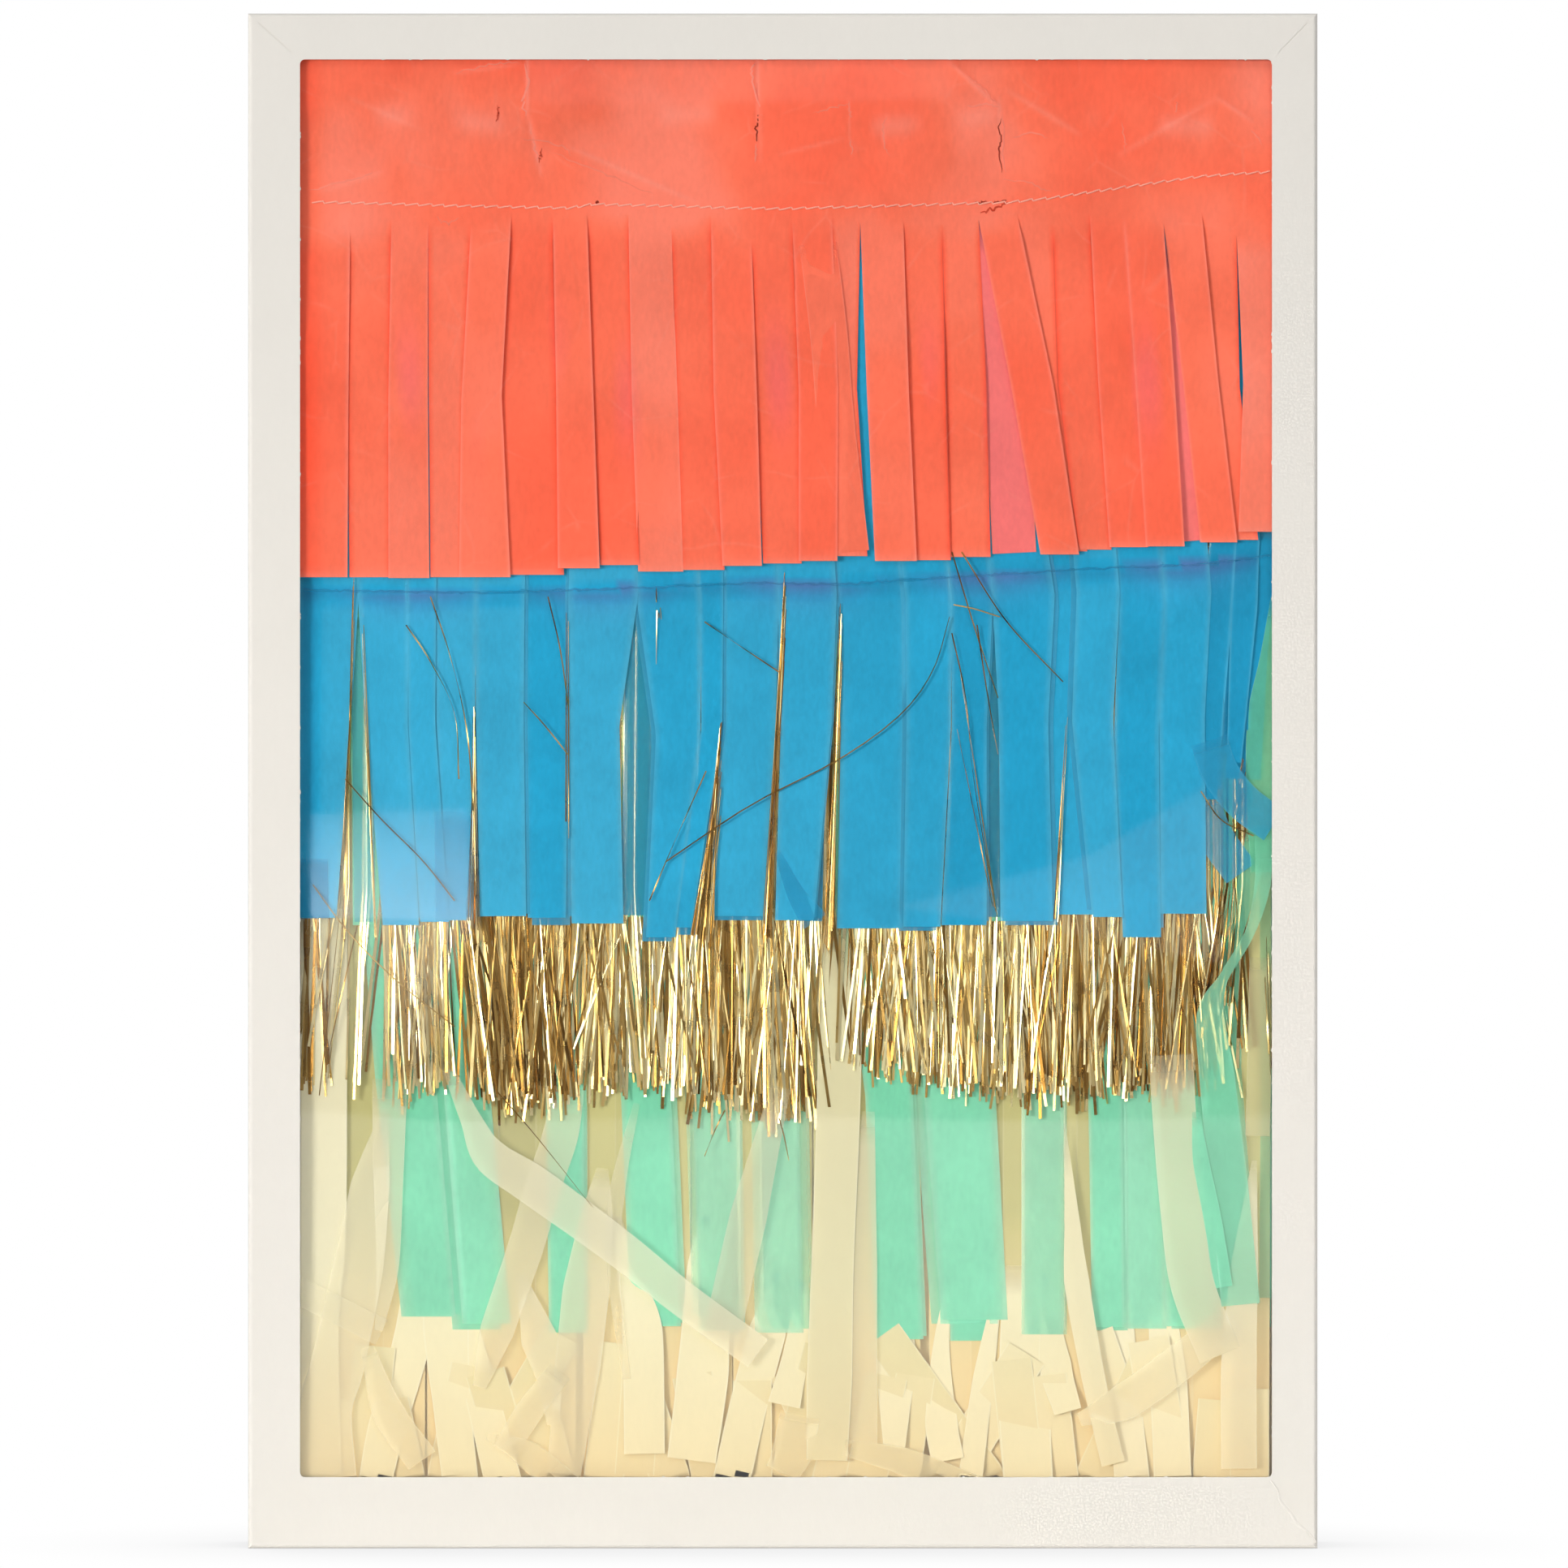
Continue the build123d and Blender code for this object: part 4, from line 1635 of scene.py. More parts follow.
@dataclass(frozen=True)
class Clump:
    """Foil strands that hang together between two pixel columns.

    Args:
        left, right: pixel columns at the blue hem.
        strands: how many.
        tone: mean tone, from -1 to 1, which paints how bright the strands' reflection is.
        tip_row: pixel row of the tips.
        gather: column that the tips draw towards.
        pull: how strongly they do.
    """

    left: float
    right: float
    strands: int
    tone: float
    tip_row: float
    gather: float = 0.0
    pull: float = 0.0


CLUMPS = tuple(Clump(*row) for row in (
    (370, 394, 24, -0.35, 1335),
    (398, 470, 9, 0.5, 1330, 400, 0.5),
    (468, 560, 78, 0.1, 1335, 540, 0.12),
    (560, 640, 120, -0.3, 1345, 655, 0.4),
    (640, 705, 110, -0.15, 1352, 655, 0.25),
    (700, 765, 76, 0.1, 1335),
    (760, 862, 100, 0.15, 1330),
    (860, 920, 95, -0.05, 1355, 900, 0.1),
    (920, 988, 110, 0.05, 1368, 945, 0.15),
    (985, 1064, 22, 0.2, 1300),
    (1062, 1130, 90, 0.3, 1315, 1085, 0.1),
    (1130, 1250, 185, 0.3, 1328),
    (1250, 1370, 180, -0.12, 1338),
    (1370, 1484, 185, -0.12, 1330),
    (1484, 1535, 26, -0.1, 1290, 1510, 0.4),
))


@dataclass(frozen=True)
class Bundle:
    """Foil that comes up through a gap in the blue row.

    Args:
        top, bottom: pixel column and row of its ends.
        spread: width at both ends, in pixels.
        strands: how many.
        tone: mean tone, which paints how bright the strands' reflection is.
    """

    top: tuple[float, float]
    bottom: tuple[float, float]
    spread: tuple[float, float]
    strands: int
    tone: float = 0.0


BUNDLES = tuple(Bundle(*row) for row in (
    ((436, 715), (424, 1138), (1, 4), 4, 0.3),
    ((446, 745), (461, 1138), (1, 3), 4, -0.1),
    ((584, 865), (584, 1138), (1, 14), 9, -0.1),
    ((699, 745), (699, 1010), (1, 2), 3, -0.5),
    ((811, 702), (811, 745), (5, 3), 4, -0.3),
    ((888, 885), (866, 1140), (1, 26), 18, -0.1),
    ((967, 698), (945, 1140), (2, 9), 11, -0.3),
    ((1036, 740), (1021, 1146), (3, 12), 11, -0.1),
    ((1314, 860), (1301, 1108), (1, 3), 4, 0.1),
    ((1182, 778), (1227, 1112), (1, 3), 3, 0.0),
    ((1514, 1080), (1500, 1215), (24, 34), 22, 0.0),
    ((1533, 925), (1522, 1005), (2, 5), 6, -0.3),
    ((1562, 1150), (1567, 1300), (4, 4), 4, 0.0),
))
STRAYS = (
    ((868, 766), (912, 796), (960, 828)),
    ((820, 1062), (925, 992), (1035, 935), (1110, 880), (1150, 825), (1170, 760)),
    ((645, 865), (672, 895), (700, 930)),
    ((425, 960), (470, 1010), (520, 1060), (560, 1110)),
    ((385, 1090), (430, 1150), (490, 1210), (560, 1265)),
    ((612, 1345), (660, 1400), (730, 1488)),
    ((1173, 680), (1200, 770), (1230, 860)),
    ((1185, 680), (1240, 765), (1310, 840)),
    ((1175, 745), (1200, 750), (1232, 760)),
    ((800, 1110), (832, 1035), (870, 950)),
    ((433, 850), (424, 1000), (418, 1123), (393, 1350)),
    ((530, 735), (555, 810), (575, 900), (583, 1000)),
    ((675, 735), (690, 800), (700, 870)),
    ((893, 1368), (880, 1395), (868, 1425)),
    ((500, 770), (530, 815), (560, 880), (565, 960)),
    ((1173, 780), (1190, 860), (1200, 960), (1226, 1118)),
    ((1204, 770), (1216, 850), (1230, 930)),
    ((1480, 975), (1505, 1010), (1545, 1030)),
    ((960, 1378), (966, 1400), (972, 1430)),
    ((440, 1140), (415, 1250), (404, 1300)),
)


@dataclass
class FrontGold:
    """The foil row behind the window: a curtain of strands, bundles in the gaps and strays."""

    stack: Stack
    half_width: float = 0.33 * MM
    stray_half_width: float = 0.13 * MM
    places: int = 9
    stray_places: int = 18
    hidden_row: float = 1100.0
    hidden_share: float = 0.6
    bundle_plane: float = -8.93
    stray_plane: float = -9.35

    @staticmethod
    def tones(rng: np.random.Generator, mean: float, count: int) -> Array:
        """Tones of strands, a painted reflection: most are bright or dark, for flat foil mirrors one thing at
        a time.
        """
        kind = rng.uniform(-1, 1, count) + mean
        return np.clip(np.sign(kind) * np.abs(kind) ** 0.7 + rng.normal(0, 0.15, count), -1, 1)

    def strands(self, rng: np.random.Generator) -> list[Surface]:
        """The curtain: each strand runs from the seam past the blue hem to its tip.

        Args:
            rng: where the values are drawn from.

        Returns:
            One surface for each clump.
        """
        made = []
        for clump in CLUMPS:
            n = clump.strands
            hem = rng.uniform(clump.left, clump.right, n)
            tip = hem + (clump.gather - hem) * clump.pull + rng.normal(0, 19, n)
            wild = rng.uniform(0, 1, n) > 0.93
            tip += wild * rng.normal(0, 30, n)
            end = clump.tip_row + rng.normal(0, 15, n) - wild * rng.uniform(0, 60, n)
            top = hem + rng.normal(0, 7, n)
            share = np.linspace(0, 1, self.places) ** 0.75
            hidden = np.clip(share / self.hidden_share, 0, 1)
            low = np.clip((share - self.hidden_share) / (1 - self.hidden_share), 0, 1)
            px = top[:, None] + (hem - top)[:, None] * hidden + (tip - hem)[:, None] * low
            py = SEWN_ROW + (self.hidden_row - SEWN_ROW) * hidden + (end[:, None] - self.hidden_row) * low
            px += np.sin(share * 9 + rng.uniform(0, 6, (n, 1))) * rng.uniform(0, 1.6, (n, 1))
            start = self.stack.layer_y(1, Layer.GOLD) + rng.uniform(-0.04, 0.06, (n, 1)) * MM
            y = start - rng.uniform(-0.15, 0.75, (n, 1)) * MM * low
            path = xyz(PHOTO.x(px), y, PHOTO.z(py))
            twist = rng.normal(0, 0.32, (n, 1)) + rng.normal(0, 0.25, (n, 1)) * share
            width = self.half_width * rng.uniform(0.6, 1.05, (n, 1, 1))
            sheet = ribbon_surface(path, across_path(path, twist) * width)
            tone = self.tones(rng, clump.tone, n)
            made.append(sheet.marked(tone=np.repeat(tone, self.places * 2)))
        return made

    def bundles(self, rng: np.random.Generator) -> list[Surface]:
        """Bundles: strands that fan from a narrow top to a wider bottom.

        Args:
            rng: where the values are drawn from.

        Returns:
            One surface for each bundle.
        """
        made = []
        for bundle in BUNDLES:
            n = bundle.strands
            at = np.linspace(-0.5, 0.5, n)[:, None]
            share = np.linspace(0, 1, self.places)
            width = bundle.spread[0] + (bundle.spread[1] - bundle.spread[0]) * share**1.5
            px = bundle.top[0] + (bundle.bottom[0] - bundle.top[0]) * share + at * width
            px = px + rng.normal(0, 0.8, (n, 1))
            row = bundle.top[1] + rng.uniform(-4, 25, (n, 1)) + rng.uniform(0, 1, (n, 1)) ** 3 * 120
            py = row + (bundle.bottom[1] + rng.uniform(-3, 30, (n, 1)) - row) * share
            y = (self.bundle_plane - rng.uniform(0, 0.06, (n, 1)) - 0.2 * share) * MM
            path = xyz(PHOTO.x(px), y, PHOTO.z(py))
            twist = rng.normal(0, 0.7, (n, 1)) + rng.normal(0, 1.2, (n, 1)) * share
            wide = self.half_width * rng.uniform(0.3, 0.7, (n, 1, 1)) * (0.3 + 0.7 * share[None, :, None])
            sheet = ribbon_surface(path, across_path(path, twist) * wide)
            # Lowered by 0.3: painted shade of the gap that the bundle comes up through.
            tone = self.tones(rng, bundle.tone - 0.3, n)
            made.append(sheet.marked(tone=np.repeat(tone, self.places * 2)))
        return made

    def strays(self, rng: np.random.Generator) -> list[Surface]:
        """Single strands that lie in front of the blue row.

        Args:
            rng: where the values are drawn from.

        Returns:
            One surface for each strand.
        """
        made = []
        for places in STRAYS:
            path = photo_path(places, self.stray_places)
            path[:, 1] = (self.stray_plane + rng.uniform(-0.1, 0.1)) * MM
            twist = rng.normal(0, 0.4) + np.linspace(0, rng.normal(0, 2.0), self.stray_places)
            across = across_path(path[None], twist[None]) * self.stray_half_width
            # Dark tones: painted reflection.
            made.append(ribbon_surface(path[None], across).marked(tone=rng.uniform(-1.0, -0.3)))
        return made

    def surface(self) -> Surface:
        """All the foil of the panel, with its marks."""
        rng = np.random.default_rng(31)
        return Surface.joined(self.strands(rng) + self.bundles(rng) + self.strays(rng))


@dataclass
class FrontMint:
    """The mint row behind the window."""

    stack: Stack
    mid_row: float = 1340.0
    mid_left: tuple[float, ...] = (
        461, 545, 672, 764, 852, 925, 1066, 1137, 1166, 1259, 1341, 1385, 1432, 1478,
    )
    mid_right: tuple[float, ...] = (
        536, 602, 719, 826, 914, 984, 1125, 1226, 1220, 1311, 1383, 1436, 1478, 1530,
    )
    low_left: tuple[float, ...] = (
        494, 569, 676, 777, 862, 930, 1079, 1160, 1171, 1259, 1346, 1389, 1436, 1500,
    )
    low_right: tuple[float, ...] = (
        561, 629, 720, 839, 918, 990, 1138, 1242, 1222, 1311, 1386, 1438, 1498, 1552,
    )
    hems: tuple[float, ...] = (
        1623, 1632, 1643, 1635, 1640, 1643, 1651, 1627, 1653, 1645, 1636, 1638, 1635, 1608,
    )
    ply_aside: tuple[float, ...] = (16, -12, 4, 7, -8, 12, 4, -12, 2, 4, 4, -6, 8, -8)
    ply_longer: tuple[float, ...] = (-3, 7, 0, -4, 3, -5, -4, 5, -3, 0, 4, -5, 3, -6)
    ply_room: float = 0.1 * MM
    ply_darker: float = 0.35
    ply_sheer: float = 0.94
    back_strip: int = 8
    back_lift: float = 0.25 * MM
    usual_sheer: float = 0.76
    thin: tuple[int, ...] = (4, 5, 9, 13)
    thin_sheer: float = 0.5
    thinner: int = 11
    thinner_sheer: float = 0.7
    pale: tuple[int, ...] = (4, 5, 9, 11)
    pale_tone: float = 0.4

    def surface(self) -> Surface:
        """The whole row with its marks.

        Returns:
            Both plies.
        """
        rng = np.random.default_rng(41)
        strips = len(self.hems)
        edges = np.linspace(*HIDDEN_SIDES, strips + 1)
        comb = Comb(
            self.stack.head_top,
            PHOTO.x(edges),
            np.full(strips + 1, PHOTO.z(SEWN_ROW)),
            [0.78, 1.0],
            PHOTO.x(np.array([self.mid_left, self.low_left])),
            PHOTO.x(np.array([self.mid_right, self.low_right])),
            PHOTO.z(self.hems),
            columns=9,
            head_rows=4,
            strip_rows=60,
        )
        lay = StripLay.drawn(rng, strips, self.stack.layer_y(1, Layer.MINT), 0.3 * MM)
        lay.lift[self.back_strip] = self.back_lift

        def behind(x: Array, z: Array, t: Array, u: Array, strip: Array) -> Array:
            """The second ply's place: close behind the first."""
            return lay(x, z, t, u, strip) + self.ply_room

        under = second_ply(comb, PHOTO.span(np.array(self.ply_aside)), PHOTO.span(np.array(self.ply_longer)))
        tones = rng.uniform(-0.12, 0.12, strips)
        sheers = np.full(strips, self.usual_sheer)
        sheers[list(self.thin)] = self.thin_sheer
        sheers[self.thinner] = self.thinner_sheer
        tones[list(self.pale)] += self.pale_tone
        made = []
        # The ply behind is toned darker: painted shade.
        rear = under.surface(behind), self.ply_sheer, self.ply_darker
        for sheet, room, depth in ((comb.surface(lay), 1.0, 0.0), rear):
            strip = sheet.marks["strip"].astype(int)
            # Near the cut sides: a little more sheer, and paler as painted highlight.
            edge = near_edge(sheet)
            sheet.marked(tone=tones[strip] - depth, sheer=sheers[strip] * room - 0.15 * edge)
            made.append(sheet.marked(worn=0.45 * edge, bleed=0.0))
        return Surface.joined(made)


# The darker tones of pieces seen through gaps and at the window's right side are painted shade.
MINT_LOOSE = tuple(LooseStrip(*row) for row in (
    (
        ((1568, 735), (1562, 810), (1554, 880), (1553, 960), (1556, 1075)),
        (3, 18, 33, 35, 29), (-8.6, -8.6), 0.6, -0.8, -0.3,
    ),
    (
        (
            (1558, 1020), (1556, 1090), (1540, 1150), (1508, 1205), (1492, 1250), (1500, 1330), (1514, 1460),
            (1529, 1608),
        ),
        (24, 20, 12, 12, 34, 44, 48, 48), (-9.2, -9.5), 0.5, 0.1, 0.05,
    ),
    (
        ((1552, 1020), (1538, 1090), (1512, 1190), (1496, 1330)),
        (30, 26, 20, 16), (-8.2, -8.2), 0.5, -0.5, -0.3,
    ),
    (
        ((1474, 1370), (1480, 1430), (1494, 1500), (1508, 1586)),
        (10, 20, 22, 22), (-9.55, -9.6), 0.7, -0.2, -0.3,
    ),
    (((782, 700), (788, 900), (786, 1130)), 46, (-8.1, -8.1), 0.75, -0.6, -0.1),
    (((1222, 730), (1222, 900), (1223, 1135)), 26, (-8.1, -8.1), 0.7, -0.7, -0.1),
    (((443, 760), (445, 900), (447, 1140)), 26, (-8.1, -8.1), 0.7, -0.3, -0.1),
    (((1561, 1040), (1563, 1300), (1561, 1600)), 18, (-7.9, -7.9), 0.35, -0.9, 0.0),
))
# The darkest tones, on pieces at the window's right side and deep behind the rows in front, are painted
# shade.
CREAM_LOOSE = tuple(LooseStrip(*row) for row in (
    (((1286, 1150), (1286, 1640)), 54, (-7.52, -7.52), 1.0, -0.07, 0.0),
    (((886, 1200), (888, 1640)), 50, (-7.52, -7.52), 1.0, -0.12, 0.0),
    (((958, 1200), (960, 1640)), 46, (-7.52, -7.52), 1.0, -0.12, 0.0),
    (((398, 1120), (397, 1500), (392, 1640), (394, 1835)), (58, 58, 48, 54), (-8.04, -8.6), 0.86, 0.12),
    (((520, 1560), (505, 1660), (476, 1760), (460, 1835)), (40, 46, 46, 40), (-7.52, -9.1), 1.0, -0.12),
    (((548, 1560), (549, 1640), (556, 1730), (568, 1835)), (54, 56, 46, 44), (-7.52, -9.2), 1.0, -0.12),
    (((560, 1590), (588, 1700), (622, 1835)), (30, 40, 46), (-7.52, -9.3), 1.0, -0.1),
    (((700, 1340), (690, 1400), (668, 1465), (648, 1535), (612, 1640), (590, 1710)),
               (40, 44, 44, 44, 42, 16), (-8.2, -8.9), 0.42, 0.2, 0.2),
    (((742, 1440), (735, 1500), (722, 1590), (712, 1680), (692, 1835)), (14, 40, 58, 56, 40),
               (-8.1, -9.0), 0.5, 0.2, 0.2),
    (((640, 1570), (664, 1650), (676, 1700), (682, 1756)), (10, 46, 30, 16), (-8.4, -9.2), 0.5, 0.2, 0.1),
    (((690, 1690), (650, 1742), (622, 1790)), (30, 34, 30), (-9.2, -9.3), 0.4, 0.2, 0.1),
    (((600, 1770), (648, 1792), (700, 1835)), (8, 34, 40), (-9.3, -9.4), 0.35, 0.1, 0.1),
    (((760, 1500), (776, 1580), (791, 1640), (794, 1792)), (10, 30, 50, 50), (-7.52, -9.0), 1.0, -0.1),
    (((875, 1500), (872, 1560), (866, 1690), (852, 1800)), (20, 50, 64, 60), (-7.52, -9.0), 1.0, -0.1),
    (((962, 1570), (946, 1640), (925, 1720), (900, 1830)), (16, 46, 46, 46), (-7.52, -9.1), 1.0, -0.12),
    (((988, 1580), (982, 1660), (966, 1732)), (14, 30, 40), (-7.52, -9.0), 1.0, -0.12),
    (((986, 1744), (976, 1790), (962, 1816)), (50, 50, 40), (-9.3, -9.4), 0.4, 0.0),
    (((480, 1330), (478, 1440), (477, 1560), (466, 1640)), (44, 38, 28, 10), (-8.4, -8.6), 0.4, 0.3),
    (((474, 1370), (456, 1460), (441, 1560), (416, 1680), (400, 1740), (404, 1835)),
               (10, 48, 62, 66, 66, 72), (-8.3, -9.3), 0.5, 0.25),
    (((366, 1590), (410, 1612), (470, 1642)), 34, (-9.5, -9.55), 0.2, 0.4),
    (((452, 1660), (478, 1740), (520, 1800)), (16, 40, 40), (-9.3, -9.4), 0.45, 0.15),
    (((784, 1360), (760, 1470), (756, 1570), (772, 1700)), (8, 20, 16, 10), (-8.0, -8.6), 0.3, 0.2),
    (
        ((552, 1318), (580, 1380), (604, 1425), (660, 1463), (760, 1536), (840, 1600), (934, 1668)),
        (14, 26, 44, 50, 46, 43, 42), (-9.0, -9.6), 0.5, 0.45, 0.2,
    ),
    (((1034, 1130), (1034, 1330), (1026, 1555), (1022, 1700), (1019, 1800)), (54, 54, 52, 56, 50),
               (-7.9, -9.4), 0.85, -0.3, 0.0),
    (((1070, 1370), (1064, 1560), (1062, 1780)), (16, 34, 38), (-7.9, -8.9), 0.5, 0.0),
    (((1106, 1560), (1104, 1680), (1102, 1786)), (30, 50, 26), (-7.52, -9.1), 1.0, -0.02),
    (((1172, 1570), (1160, 1660), (1160, 1752), (1168, 1800)), (6, 20, 40, 40), (-7.52, -9.2), 1.0, -0.02),
    (((1230, 1590), (1212, 1700), (1194, 1835)), (10, 26, 30), (-7.52, -9.3), 1.0, -0.02),
    (((1040, 1784), (1116, 1802), (1200, 1835)), (20, 34, 34), (-9.4, -9.45), 0.5, -0.1, 0.05),
    (((1262, 1560), (1262, 1720), (1268, 1835)), (50, 64, 60), (-7.52, -9.1), 1.0, -0.12),
    (((1290, 1570), (1300, 1680), (1316, 1740)), (10, 40, 34), (-7.52, -8.9), 1.0, -0.12),
    (((1312, 1385), (1321, 1500), (1327, 1580), (1344, 1680), (1360, 1755), (1372, 1804)),
               (2, 18, 31, 29, 28, 29), (-8.8, -9.5), 0.85, -0.05),
    (((1384, 1590), (1386, 1700), (1396, 1835)), (20, 36, 44), (-7.52, -9.1), 1.0, 0.18),
    (((1430, 1590), (1440, 1700), (1446, 1835)), (30, 46, 46), (-7.52, -9.0), 1.0, 0.03),
    (
        ((1443, 1300), (1449, 1400), (1458, 1500), (1470, 1585), (1504, 1670)),
        54, (-9.1, -9.6), 0.5, 0.1, 0.15,
    ),
    (((1520, 1625), (1450, 1682), (1385, 1728), (1330, 1750)), (40, 46, 46, 16), (-9.3, -9.45), 0.4, 0.3),
    (((1546, 1430), (1534, 1560), (1527, 1680), (1527, 1810)), (6, 34, 44, 44), (-9.0, -9.6), 0.62, 0.3,
               0.1),
    (((962, 1340), (922, 1500), (888, 1650)), (24, 46, 46), (-8.8, -9.1), 0.34, 0.2),
    (((1555, 1180), (1553, 1280), (1550, 1400)), 30, (-8.8, -9.0), 0.5, -0.6),
    (((640, 1120), (655, 1240), (662, 1345)), 40, (-7.9, -7.95), 0.5, -0.3),
))


@dataclass(frozen=True)
class CreamLay:
    """How loosely a panel's cream strips lie.

    Args:
        drift: how far a strip strays to a side, in millimetres.
        slope: how far it slants once turned up.
        rise: least and greatest height of a turned-up end, in millimetres.
        half: least and greatest half width, in pitches.
        tones: how much the strips differ.
        worn: how pale their cut sides are above the fold, a painted highlight.
        ahead: how far the ends stand before their plane, in millimetres.
    """

    drift: float
    slope: float
    rise: tuple[float, float]
    half: tuple[float, float]
    tones: float
    worn: float
    ahead: float


FRONT_LAY = CreamLay(0.8, 0.3, (14, 29), (0.5, 0.55), 1.0, 0.15, 0.2)
REAR_LAY = CreamLay(0.9, 0.12, (8, 16), (0.54, 0.6), 1.9, 0.45, 0.0)


@dataclass
class CreamRow:
    """The longest row: its strips reach the floor of the box and turn up in front.

    Args:
        stack: places of the garland.
        panel: number of the panel, 1 behind the window.
        strips: how many.
        seed: of the random lay.
    """

    stack: Stack
    panel: int
    strips: int
    seed: int
    down_places: int = 26
    turn_places: int = 7
    up_places: int = 16

    def surface(self) -> Surface:
        """The strips: down along the row's plane, round a half circle and up in front.

        Returns:
            All strips with their marks.
        """
        rng = np.random.default_rng(self.seed)
        front = self.panel == 1
        lay = FRONT_LAY if front else REAR_LAY
        n = self.strips
        floor = (self.stack.front_floor if front else self.stack.floor) + 0.1 * MM
        back_y = self.stack.layer_y(self.panel, Layer.CREAM)
        ahead = Layer.MINT if front else Layer.CORAL
        front_y = self.stack.layer_y(self.panel, ahead) - lay.ahead * MM
        gap = front_y - back_y
        radius = abs(gap) / 2
        pitch = (self.stack.right - self.stack.left) / n
        x0 = self.stack.left + (np.arange(n) + 0.5) * pitch
        drift = rng.normal(0, lay.drift, n) * MM
        x1 = np.clip(x0 + drift, self.stack.left + pitch / 2, self.stack.right - pitch / 2)
        slope = rng.normal(0, lay.slope, n)
        room = (self.stack.right - self.stack.left) / 2 - pitch * 0.62
        middle = (self.stack.left + self.stack.right) / 2
        rise = rng.uniform(*lay.rise, n) * MM
        x2 = np.clip(x1 + slope * rise, middle - room, middle + room)
        t = np.linspace(0, 1, self.down_places)
        top = self.stack.head_top - 1 * MM
        step = np.where(np.arange(n) % 2, 0.07, -0.07)[:, None] * MM
        wave = np.sin(t * 7 + rng.uniform(0, 6, (n, 1))) * rng.uniform(0, 0.06, (n, 1)) * MM + step
        fall = top + (floor + radius - top) * t
        down = xyz(x0[:, None] + (x1 - x0)[:, None] * t, back_y + wave * np.sin(t * math.pi) ** 0.5, fall)
        angle = np.linspace(0, math.pi, self.turn_places + 2)[1:-1]
        turned = back_y + gap / 2 * (1 - np.cos(angle))
        bend = xyz(x1[:, None], turned, floor + radius - radius * np.sin(angle))
        s = np.linspace(0, 1, self.up_places)
        stand = rng.uniform(-0.12, 0.12, (n, 1)) * MM * np.sin(s * math.pi / 2)
        climb = floor + radius + rise[:, None] * s
        up = xyz(x1[:, None] + (x2 - x1)[:, None] * s, front_y + stand, climb)
        path = np.concatenate([down, bend, up], axis=1)
        tilt_down = np.broadcast_to(((x1 - x0) / (top - floor))[:, None], (n, self.down_places))
        tilt_up = np.broadcast_to(-((x2 - x1) / rise)[:, None], (n, self.up_places))
        turn = np.linspace(0, 1, self.turn_places)
        tilt_turn = tilt_down[:, -1:] * (1 - turn) + tilt_up[:, :1] * turn
        tilt = np.concatenate([tilt_down, tilt_turn, tilt_up], axis=1)
        half = pitch * rng.uniform(*lay.half, (n, 1, 1))
        across = xyz(1.0, 0.0, tilt)
        across /= np.linalg.norm(across, axis=-1, keepdims=True)
        sheet = ribbon_surface(path, across * half, RIM_STEPS)
        places, steps = path.shape[1], len(RIM_STEPS)
        leg = np.tile(np.repeat(np.arange(places) >= self.down_places + self.turn_places // 2, steps), n)
        own = np.repeat(rng.uniform(-0.2, 0.2, n) * lay.tones, places * steps)
        # Toward the bottom the painted shade of the hidden run lifts, and browner painted shade comes in.
        warm = np.clip((PHOTO.z(1500) - sheet.points[:, 2]) / PHOTO.span(200), 0, 1)
        # Front panel: the hidden run is toned dark as painted shade between the strips, the turned-up ends a
        # little darker.
        shaded = np.where(leg, -0.35, -1.05 + 0.45 * warm) if front else 0.0
        sheet.marked(tone=own + shaded, sheer=1.0)
        sheet.marked(worn=np.tile(RIM, places * n) * np.where(leg, 0.5, lay.worn))
        return sheet.marked(bleed=np.where(leg, 0.7 * bottom_shade(sheet), 0.85 * warm))


@dataclass
class RearRow:
    """A row of fringe on a panel behind the front one, with evenly cut strips.

    Args:
        stack: places of the garland.
        panel: number of the panel.
        layer: which row.
        length: from the seam to the hem.
        strips: how many.
    """

    stack: Stack
    panel: int
    layer: Layer
    length: float
    strips: int = 24

    def surface(self) -> Surface:
        """The row with its marks.

        Returns:
            The row.
        """
        rng = np.random.default_rng(100 * self.panel + self.layer.value)
        edges = np.linspace(self.stack.left, self.stack.right, self.strips + 1)
        pitch = edges[1] - edges[0]
        middles = (edges[:-1] + edges[1:]) / 2
        drift = rng.normal(0, 0.08, self.strips) * pitch
        middle = np.clip(middles + drift, self.stack.left + pitch / 2, self.stack.right - pitch / 2)
        half = pitch / 2 * rng.uniform(0.94, 1.0, self.strips)
        coral = self.layer is Layer.CORAL
        slit_z = self.stack.seam_z - (2.5 + rng.uniform(-0.4, 0.4, self.strips + 1)) * MM
        comb = Comb(
            self.stack.header_top - 0.3 * MM if coral else self.stack.head_top,
            edges,
            slit_z,
            [1.0],
            middle - half,
            middle + half,
            self.stack.seam_z - self.length + rng.uniform(-0.8, 0.8, self.strips) * MM,
            columns=3,
            head_rows=18 if coral else 3,
            strip_rows=20,
        )
        base = self.stack.layer_y(self.panel, self.layer)
        lay = StripLay.drawn(rng, self.strips, base, 0.09 * MM)
        seed = 7 * self.panel

        def relief(x: Array, z: Array, t: Array, u: Array, strip: Array) -> Array:
            """The strips' own lay, and the header's mild crumple."""
            crumple = creases(x, z, np.random.default_rng(seed), 30 * MM, 0.22 * MM, 7) if coral else 0.0
            return lay(x, z, t, u, strip) + crumple * np.clip(1 - t * 4, 0, 1)

        sheet = comb.surface(relief)
        strip = sheet.marks["strip"].astype(int)
        tones = rng.uniform(-0.2, 0.15, self.strips)
        return sheet.marked(tone=tones[strip], sheer=1.0, worn=0.0, bleed=0.0)


